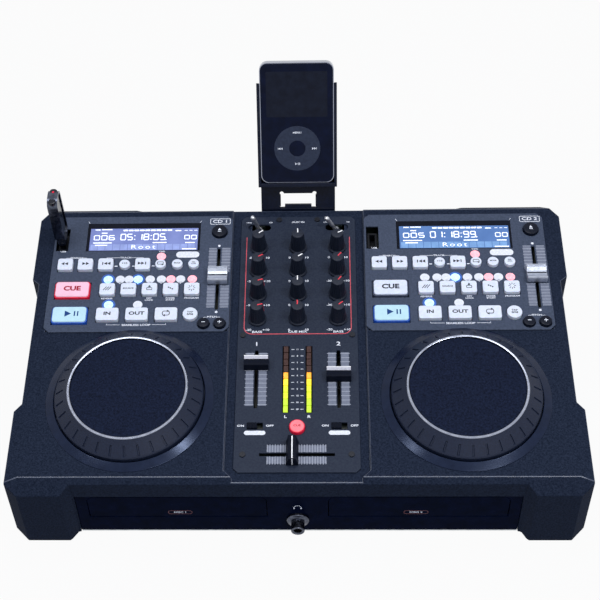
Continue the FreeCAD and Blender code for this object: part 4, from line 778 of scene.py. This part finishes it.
for side, deck in DECKS.items():
    here = at(deck, 0, JOG_V)
    wheel_body = f"jog_{side}"
    bezel = turned([(0, -10), (62.0, -10), (62.0, 0), (66.4, 0), (66.4, 0.5), (66.1, 0.8),
                    (60.6, 3.4), (60.1, 3.6), (59.8, 3.5), (59.6, 3.2), (59.6, -8), (7.5, -8),
                    (7.5, 1), (0, 1)], 180)
    piece = make_piece(bezel, f"jog_bezel_{side}", "console", bezel_gloss, here)
    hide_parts("jog_mounts")
    wheel_steps = GROOVES * STEPS_PER_GROOVE
    wheel = turned([(45.7, 15.0), (45.7, 17.0), (46.0, 17.4), (46.9, 17.4), (47.5, 16.6),
                    (51.0, 13.5), (57.6, 7.6), (58.2, 7.0), (58.7, 6.2), (58.7, 1.0),
                    (56.0, 1.0), (55.6, 5.8), (44.6, 14.2), (5.0, 14.2), (5.0, 15.0),
                    (45.7, 15.0)], wheel_steps)
    # The grooves lie in the lower and broader band of the cone.
    flank = [face for face in wheel.faces
             if 53.5 < face.calc_center_median().xy.length < 55
             and 9.5 < face.calc_center_median().z < 11.5]
    bmesh.ops.inset_individual(wheel, thickness=0.55, depth=-0.9,
                               faces=every_few_steps(flank, wheel_steps, STEPS_PER_GROOVE))
    piece = make_piece(wheel, f"jog_wheel_ring_{side}", wheel_body, flank_rubber,
                       here, 28)
    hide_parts(f"jog_wheel_{side}")
    lip = turned([(45.5, 16.4), (45.5, 17.2), (45.9, 17.5), (46.9, 17.5), (47.4, 16.9),
                  (47.2, 16.4), (45.5, 16.4)], 180)
    make_piece(lip, f"jog_lip_{side}", wheel_body, lip_gloss, here, 50)
    disc = turned([(0, 16.5), (43.6, 16.5), (44.4, 16.55), (44.9, 16.3), (45.1, 15.9),
                   (45.1, 15.05), (0, 15.05)], 120)
    piece = make_piece(disc, f"jog_top_{side}", wheel_body, disc_vinyl, here, 50)
    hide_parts(f"jog_disc_{side}")

# ---- mixer plate
# A third painted plate lies in the channel between the decks, with the red
# frame of the knob field, scales and numbers printed on it.
MIXER_TOP = -1.5
KNOB_X = 33.0
FADER_X = 32.8
METER_X = 9.2
METER_STEP = 6.26
SWITCH_V = 45.7
CROSS_V = 20.2
mixer_paint = finish("satin_mixer_paint", ("#1d2436", "#28303f"), 1.5, (0.4, 0.52),
                     relief=0.015, specular=0.1, IOR=1.5)
eased_copy("mixer_plate", "console", mixer_paint, 0.25)
red_line_ink = finish("red_screen_ink", ("#b43c4c", "#c64a58"), 1.5, (0.45, 0.6))
# The knob field's frame is a full outline cut off straight near its far end.
frame_line = bmesh.new()
outline(frame_line, 0, 194.0, 88.0, 124.0, 7.0, 0.7, MIXER_TOP)
bmesh.ops.bisect_plane(frame_line, geom=frame_line.verts[:] + frame_line.edges[:]
                       + frame_line.faces[:], dist=0.0001, plane_co=(0, 232.8, 0),
                       plane_no=(0, 1, 0), clear_outer=True)
bmesh.ops.holes_fill(frame_line, edges=frame_line.edges, sides=8)
make_piece(frame_line, "knob_field_line", "console", red_line_ink)

columns = {"left": -KNOB_X, "centre": 0.0, "right": KNOB_X}
knob_rows = {row: 147.0 + 24.75 * i
             for i, row in enumerate(("bass", "middle", "treble", "gain"))}
mixer_ink = bmesh.new()
for x in columns.values():
    for row, v in knob_rows.items():
        low_mark, high_mark = ("0", "10") if row == "gain" or x == 0 else ("-30", "+10")
        lettering(mixer_ink, low_mark, 1.9, x - 7.0, v - 10.6, MIXER_TOP, 1.3)
        lettering(mixer_ink, high_mark, 1.9, x + 7.2, v - 10.6, MIXER_TOP, 1.3)
for words, height, x, v, *style in (
        ("BASS", 2.0, -KNOB_X, 134.4, 1.35), ("CUE MIX", 2.0, 0, 134.4, 1.35),
        ("BASS", 2.0, KNOB_X, 134.4, 1.35), ("1", 3.5, -KNOB_X, 122.4, 1.35),
        ("2", 3.5, KNOB_X, 122.4, 1.35), ("L", 2.3, -METER_X, 53.8, 1.3, 0.03),
        ("R", 2.3, METER_X, 53.8, 1.3, 0.03), ("AUX IN", 1.7, 0, 249.2, 1.3)):
    lettering(mixer_ink, words, height, x, v, MIXER_TOP, *style)
for i, mark in enumerate(("11", "8", "5", "2", "0", "4", "8", "12", "20", "28")):
    v = 117.0 - METER_STEP * i
    lettering(mixer_ink, mark, 1.3, 0, v, MIXER_TOP, 1.1)
    for x in (-3.7, 3.7):
        bar(mixer_ink, x, v, 2.4, 0.45, MIXER_TOP)
for x in (-FADER_X, FADER_X):
    lettering(mixer_ink, "ON", 1.7, x - 11.0, SWITCH_V, MIXER_TOP, 1.4, 0.03)
    lettering(mixer_ink, "OFF", 1.7, x + 11.6, SWITCH_V, MIXER_TOP, 1.4, 0.03)
    rounded_block(mixer_ink, x, 39.4, (16.6, 3.8, INK), MIXER_TOP, 1.8)
for x in (-KNOB_X, KNOB_X):
    lettering(mixer_ink, "LINE", 1.2, x - 9.2, 249.0, MIXER_TOP, 1.2)
    lettering(mixer_ink, "CD", 1.2, x + 9.6, 249.0, MIXER_TOP, 1.2)
make_piece(mixer_ink, "mixer_print", "console", white_ink)

# The fader scales: pale fields on both sides of each slot, ruled with lines.
fields = bmesh.new()
lines = bmesh.new()
LINE_TOP = MIXER_TOP + 0.02
channel_step, channel_marks, cross_step = 4.0, 13, 2.05
for x in (-FADER_X, FADER_X):
    for hand in (-1, 1):
        bar(fields, x + hand * 5.2, 89.0, 6.2, 50.0, MIXER_TOP)
        for i in range(channel_marks):
            bar(lines, x + hand * 5.4, 65.0 + channel_step * i, 6.6 if i % 2 else 7.4, 0.55,
                LINE_TOP)
for left, right in ((-22.8, -8.4), (1.6, 22.1)):
    for hand in (-1, 1):
        bar(fields, (left + right) / 2, CROSS_V + hand * 5.0, right - left, 6.0, MIXER_TOP)
        for i in range(round((right - left) / cross_step) + 1):
            bar(lines, left + cross_step * i, CROSS_V + hand * 5.3, 0.6,
                7.2 if i % 2 else 6.6, LINE_TOP)
make_piece(fields, "fader_scale_fill", "console", faint_ink)
make_piece(lines, "fader_scale_lines", "console", grey_ink)

# ---- rotary knobs
# Soft-touch knobs with a round skirt and a ribbed, tapering grip; a painted
# pointer runs from the middle of the top down the side.
knob_rubber = finish("soft_touch_knob", ("#111725", "#1b2232"), 1.0, (0.4, 0.52), relief=0.02,
                     specular=0.22)
pointer_white = finish("white_pointer_paint", ("#e6e9f2", "#f4f5fa"), 2.0, (0.4, 0.5))
pointer_red = finish("red_pointer_paint", ("#cc2236", "#dd3245"), 2.0, (0.4, 0.5))
KNOB_STEPS = 72
# Degrees clockwise from straight up the panel, by row and from left to right.
turned_to = {"gain": (51, 0, 62), "treble": (60, 55, 40), "middle": (70, 0, 35),
             "bass": (75, 0, 50)}
for row, v in knob_rows.items():
    for (column, x), angle in zip(columns.items(), turned_to[row]):
        here = at(TOP, x, v)
        body = f"{row}_{column}"
        knob = turned([(0, 18.6), (4.0, 18.6), (4.6, 18.4), (4.95, 17.9), (6.7, 1.2), (7.1, 0.9),
                       (7.5, 0.4), (7.5, -1.0), (0, -1.0)], KNOB_STEPS)
        # The side of the grip is the only band between these heights.
        grip = [face for face in knob.faces if 3 < face.calc_center_median().z < 16]
        bmesh.ops.inset_individual(knob, faces=every_few_steps(grip, KNOB_STEPS, 4),
                                   thickness=0.08, depth=-0.28)
        piece = make_piece(knob, f"{row}_knob_body_{column}", body, knob_rubber, here, 26)
        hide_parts(f"{row}_knob_{column}")
        white = row == "gain" or (column == "centre" and row != "bass")
        pointer = swept([(0.6, 18.55), (0.6, 18.7), (4.75, 18.7), (5.15, 18.0), (6.15, 8.6),
                         (5.6, 8.6), (4.6, 18.0)], 0, 0.9)
        bmesh.ops.rotate(pointer, cent=(0, 0, 0), verts=pointer.verts,
                         matrix=Matrix.Rotation(math.radians(-angle), 3, "Z"))
        make_piece(pointer, f"{row}_pointer_{column}", body,
                   pointer_white if white else pointer_red, here)

# ---- source toggles
# Nickel-plated bat levers with a rounded tip stand in dark slots, each
# leaning to the left at rest and turning on a hub under the plate.
for side, x, lean in (("left", -KNOB_X, 17.0), ("right", KNOB_X, 28.0)):
    pivot = at(TOP, x, 243.5, -6.0)
    body = f"toggle_{side}"
    lever = turned([(0, -1.8), (1.6, -1.2), (1.6, 6.0), (2.1, 17.2), (2.0, 18.8), (1.5, 19.8),
                    (0.8, 20.3), (0, 20.4)], 32)
    piece = make_piece(lever, f"source_lever_{side}", body, nickel,
                       pivot @ Matrix.Rotation(math.radians(-lean), 4, "Y"))
    hub = turned([(0, -2.6), (2.2, -2.6), (2.2, 2.6), (0, 2.6)], 32)
    make_piece(hub, f"source_hub_{side}", body, nickel,
               pivot @ Matrix.Rotation(math.radians(90), 4, "X"))
    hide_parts(f"source_toggle_{side}")

# ---- channel faders
# Moulded caps: black in front, with a pale grey inlay on the back half that
# ends in a white index line.
pale_inlay = finish("pale_grey_inlay", ("#8d90a2", "#a4a7b8"), 1.5, (0.3, 0.42), IOR=1.53)
for name, x, v in (("one", -FADER_X, 102.2), ("two", FADER_X, 91.1)):
    here = at(TOP, x, v)
    body = f"channel_{name}"
    cap = swept([(-5.3, -0.9), (5.3, -0.9), (5.3, 0.4), (4.2, 6.0), (3.4, 7.3), (0.6, 6.6),
                 (-0.4, 6.0), (-3.4, 6.4), (-4.6, 5.8), (-5.3, 0.8)], 0, 19.6)
    piece = make_piece(cap, f"channel_cap_{name}", body, matt_black, here)
    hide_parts(f"channel_fader_{name}")
    inlay = swept([(0.6, 6.5), (3.3, 7.2), (3.3, 7.4), (0.6, 6.75)], 0, 19.0)
    make_piece(inlay, f"channel_inlay_{name}", body, pale_inlay, here)
    index = swept([(3.3, 7.1), (4.1, 6.3), (4.3, 6.5), (3.4, 7.5), (3.0, 7.4)], 0, 19.2)
    make_piece(index, f"channel_index_{name}", body, pointer_white, here)
    make_piece(blocks((0, 0, (1.6, 5.0, 15.4), -16.0, 0)), f"channel_stem_{name}", body,
               galvanised_steel, here)

# ---- crossfader
# A tall black cap, broad at the foot and narrow at the crest, with one white
# line along the crest and down its front.
here = at(TOP, -3.6, 21.1)
cap = blocks((0, 0, (9.8, 21.4, 9.4), -0.9, 0.8, 0.5))
crest_share, half_height = 0.62, 4
for vert in cap.verts:
    if vert.co.z > half_height:
        vert.co.x *= crest_share
piece = make_piece(cap, "crossfader_cap", "cross", matt_black, here)
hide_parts("crossfader")
make_piece(blocks((0, 0, (0.9, 19.6, 0.12), 8.48, 0), (0, -10.68, (0.9, 0.12, 8.4), 0.1, 0)),
           "crossfader_index", "cross", pointer_white, here)
make_piece(blocks((0, -0.9, (5.0, 1.6, 15.4), -16.0, 0)), "crossfader_stem", "cross",
           galvanised_steel, here)

# ---- fader start switches
# Small black sliders with three grip ridges in rectangular windows, at rest
# at the left end of their travel.
for side, x in (("left", -FADER_X), ("right", FADER_X)):
    ridges = ((ridge, 0, (0.9, 4.6, 0.9), -0.4, 0.2, 0.2) for ridge in (-2.4, 0, 2.4))
    piece = make_piece(blocks((0, 0, (7.6, 5.2, 6.6), -7.0, 0.4, 0.3), *ridges),
                       f"start_switch_knob_{side}", f"start_switch_{side}",
                       matt_black, at(TOP, x - 2.1, SWITCH_V))
    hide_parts(f"fader_start_switch_{side}")

# ---- listen key
# A round silicone key, lit red from below, in a dark red collar that moves
# with it, and the word CUE printed on its face.
listen_red = finish("red_lit_listen_face", ("#c8505c", "#d85e68"), 3.0, (0.35, 0.45),
                    specular=0.2, glow=("#f58a96", 0.6))
LISTEN_V = 43.9
key = turned([(0, 1.9), (4.6, 1.9), (5.0, 1.8), (5.3, 1.5), (5.3, -3.0), (0, -3.0)], 48,
             0, LISTEN_V)
piece = make_piece(key, "listen_key_face", "listen", listen_red)
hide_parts("listen_key")
collar = turned([(5.2, 1.2), (5.9, 1.2), (6.2, 0.8), (6.2, -7.0), (5.2, -7.0), (5.2, 1.2)], 48,
                0, LISTEN_V)
make_piece(collar, "listen_key_collar", "listen", red_skirt)
sign = bmesh.new()
lettering(sign, "CUE", 1.7, 0, LISTEN_V + 0.1, 1.9, 1.2)
make_piece(sign, "listen_key_sign", "listen", red_ink)

# ---- level meters
# Two rows of ten diffusers behind the mixer plate, lit from green through
# yellow to orange up to the sixth one; the rest stay dark.
meter_finishes = {
    lit: finish(f"lit_{lit}_diffuser", shades, 2.0, (0.3, 0.4), glow=glow)
    for lit, shades, glow in (("green", ("#8ca818", "#9ab422"), ("#c2e620", 0.6)),
                              ("lime", ("#a2ac16", "#b0ba20"), ("#dcee22", 0.6)),
                              ("yellow", ("#f6d61c", "#ffe63c"), ("#fadc1e", 0.5)),
                              ("orange", ("#f29a22", "#ffb23a"), ("#f8a024", 0.45)))}
meter_finishes["off"] = finish("unlit_red_diffuser", ("#33201f", "#412a28"), 2.0, (0.3, 0.4),
                               specular=0.2)
diffusers = ["green", "green", "lime", "lime", "yellow", "orange"] + ["off"] * 4
segments = {lit: bmesh.new() for lit in meter_finishes}
for x in (-METER_X, METER_X):
    for i, lit in enumerate(diffusers):
        rounded_block(segments[lit], x, 60.9 + METER_STEP * i, (3.6, 5.6, 3.0), -4.5, 0.3)
for lit, shape in segments.items():
    piece = make_piece(shape, f"meter_{lit}", "console", meter_finishes[lit])
    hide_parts("indicator_lenses")

# ---- back panel
# A folded steel plate, powder-coated black, with two rows of phono sockets,
# each in a coloured ring, and a mains inlet behind a moulded flange.
powder_coat = finish("black_powder_coat", ("#10141f", "#191e2b"), 0.8, (0.5, 0.65), relief=0.03,
                     specular=0.15)
use_material(powder_coat, "back_panel")
use_material(socket_dark, "back_sockets")
REAR = (HOUSING @ Matrix.Translation((0, 269.7, 0)) @ Matrix.Rotation(math.radians(180), 4, "Z")
        @ Matrix.Rotation(math.radians(90), 4, "X"))
ring_white = finish("white_socket_ring", ("#c9ccd2", "#dcdee3"), 1.5, (0.4, 0.5))
ring_red = finish("red_socket_ring", ("#8e1622", "#a8202e"), 1.5, (0.4, 0.5))
socket_step = 22.0
for name, z, material in (("upper", 52.0, ring_white), ("lower", 28.0, ring_red)):
    rings = bmesh.new()
    for i in range(7):
        add_shape(rings, turned([(4.3, 0.0), (6.0, 0.0), (6.0, 0.9), (5.7, 1.2), (4.3, 1.2),
                                 (4.3, 0.0)], 32, 114.0 - socket_step * i, z))
    make_piece(rings, f"phono_rings_{name}", "console", material, REAR)

# ---- dock and pocket player
# A folded cradle of black-painted steel is screwed to the back wall; the
# player leans in it, glossy black in front and polished steel behind.
DOCK = (HOUSING @ Matrix.Translation((0, 274.7, 126.3))
        @ Matrix.Rotation(math.radians(-26.3), 4, "X"))
PLAYER = DOCK @ Matrix.Rotation(math.radians(90), 4, "X")
PLAYER_MIDDLE_V, WHEEL_V = 51.75, 30.4
SIGN_LEVEL = 0.12
cradle_paint = finish("black_cradle_enamel", ("#080e1d", "#0f162a"), 2.0, (0.3, 0.4),
                      specular=0.13, IOR=1.5)
eased_copy("dock_cradle", "console", cradle_paint, 0.3)
player_gloss = finish("player_front_acrylic", ("#040b20", "#08112a"), 8.0, (0.08, 0.12),
                      specular=0.08, IOR=1.49)
player_steel = finish("polished_stainless_steel", ("#8d92a2", "#999eae"), 9.0, (0.14, 0.2),
                      Metallic=1.0)
player_screen = finish("resting_screen", ("#0c1120", "#131929"), 6.0, (0.14, 0.2),
                       specular=0.1, IOR=1.5)
wheel_grey = finish("touch_wheel_polycarbonate", ("#242b3d", "#2c3448"), 2.0, (0.4, 0.5),
                    specular=0.15)
shell = blocks((0, PLAYER_MIDDLE_V, (61.8, 103.5, 9.9), 1.1, 6.5, 2.5, 4))
piece = make_piece(shell, "player_back_shell", "player", player_steel,
                   PLAYER @ Matrix.Rotation(math.radians(180), 4, "Y"))
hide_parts("pocket_player")
signs = bmesh.new()
for x, turn in ((-14.8, 180), (-13.0, 180), (13.0, 0), (14.8, 0)):
    arrow(signs, x, WHEEL_V, 1.15, turn, SIGN_LEVEL)
for x in (-16.2, 16.2):
    bar(signs, x, WHEEL_V, 0.4, 1.6, SIGN_LEVEL)
arrow(signs, -1.3, 17.0, 1.2, 0, SIGN_LEVEL)
for x in (0.6, 1.8):
    bar(signs, x, 17.0, 0.6, 1.9, SIGN_LEVEL)
lettering(signs, "MENU", 1.5, 0, 44.2, SIGN_LEVEL, 1.2, 0.03)
player_parts = (
    ("front", player_gloss, blocks((0, PLAYER_MIDDLE_V, (60.5, 102.2, 1.2), -1.2, 5.9, 0.5, 3))),
    ("screen", player_screen, blocks((0, 77.0, (51.0, 38.6, INK), 0.0, 1.0))),
    ("touch_wheel", wheel_grey, turned([(6.9, 0.0), (19.4, 0.0), (19.2, 0.12), (7.1, 0.12),
                                        (6.9, 0.0)], 96, 0, WHEEL_V)),
    ("button", player_gloss, turned([(0, 0.05), (6.2, 0.12), (6.6, 0.0), (0, 0)], 64, 0,
                                    WHEEL_V)),
    ("signs", white_ink, signs))
for name, material, shape in player_parts:
    make_piece(shape, f"player_{name}", "player", material, PLAYER)

# ---- table and light
# A plain pale table top in a pale room. The camera, mirrors and glass see both
# as white, while less light than that falls on the object.
def seen_directly(owner):
    """1 for a ray from the camera, a glossy surface or clear glass, else 0."""
    ray = add_node(owner, "ShaderNodeLightPath", {}, {})
    seen = ray.outputs["Is Camera Ray"]
    for kind in ("Is Glossy Ray", "Is Transmission Ray"):
        seen = add_node(owner, "ShaderNodeMath", {"operation": "MAXIMUM"},
                        {0: seen, 1: ray.outputs[kind]}).outputs[0]
    return seen


table_white = bpy.data.materials.new("white_table_laminate")
table_white.use_nodes = True
nodes = table_white.node_tree.nodes
laminate = nodes["Principled BSDF"]
laminate.inputs["Base Color"].default_value = colour("#8f939e")
laminate.inputs["Roughness"].default_value = 0.7
# The last twentieth is the laminate itself, which takes the object's shadow.
share = add_node(table_white, "ShaderNodeMath", {"operation": "MULTIPLY", 1: 0.95},
                 {0: seen_directly(table_white)})
white_light = add_node(table_white, "ShaderNodeEmission", {"Strength": 1.0}, {})
add_node(table_white, "ShaderNodeMixShader", {},
         {0: share.outputs[0], 1: laminate.outputs[0], 2: white_light.outputs[0]})
table_white.node_tree.links.new(nodes["Mix Shader"].outputs[0],
                                nodes["Material Output"].inputs["Surface"])
table = bmesh.new()
bmesh.ops.create_grid(table, x_segments=1, y_segments=1, size=6.0)
mesh = bpy.data.meshes.new("table_top")
table.to_mesh(mesh)
table.free()
mesh.materials.append(table_white)
table_top = bpy.data.objects.new("table_top", mesh)
bpy.context.scene.collection.objects.link(table_top)

world = bpy.data.worlds.new("pale_room")
bpy.context.scene.world = world
world.use_nodes = True
sky = world.node_tree.nodes["Background"]
sky.inputs["Color"].default_value = colour("#eef1f8")
sky.inputs["Strength"].default_value = 0.36
white = add_node(world, "ShaderNodeBackground", {"Color": (1, 1, 1, 1), "Strength": 1.0}, {})
shown = add_node(world, "ShaderNodeMixShader", {},
                 {0: seen_directly(world), 1: sky.outputs[0], 2: white.outputs[0]})
world.node_tree.links.new(shown.outputs[0], world.node_tree.nodes["World Output"].inputs[0])

# One broad soft box hangs overhead; smaller ones to the right, in front and to
# the left put narrow highlights on the edges. All point at the console.
LIT_POINT = Vector((0, 0, 0.05))
for name, place, width, depth, watts in (
        ("top_box", (-0.2, 0.1, 2.1), 1.1, 0.8, 17),
        ("right_box", (0.86, -0.42, 1.75), 0.26, 0.26, 11),
        ("front_strip", (0.7, -1.2, 1.6), 1.0, 0.2, 9),
        ("left_box", (-0.9, -0.45, 1.7), 0.3, 0.3, 5)):
    light = bpy.data.lights.new(name, "AREA")
    light.shape = "RECTANGLE"
    light.size = width
    light.size_y = depth
    light.energy = watts
    soft_box = bpy.data.objects.new(name, light)
    soft_box.location = place
    soft_box.rotation_euler = (LIT_POINT - Vector(place)).to_track_quat("-Z", "Y").to_euler()
    bpy.context.scene.collection.objects.link(soft_box)

# ---- camera
# It stands in front of the console and looks down on it at 49 degrees; the
# shift puts the console in the frame without turning the camera.
camera_data = bpy.data.cameras.new("viewer")
camera_data.lens = 84.0
camera_data.sensor_width = 36.0
camera_data.shift_x = 0.0553
camera_data.shift_y = 0.0025
camera_data.dof.use_dof = False
viewer = bpy.data.objects.new("viewer", camera_data)
viewer.location = (0.019, -0.747085, 0.9587)
viewer.rotation_euler = [math.radians(angle) for angle in (41.08363, 1.90669, 1.17452)]
bpy.context.scene.collection.objects.link(viewer)
bpy.context.scene.camera = viewer
bpy.context.scene.view_settings.view_transform = "Standard"

bpy.context.view_layer.update()
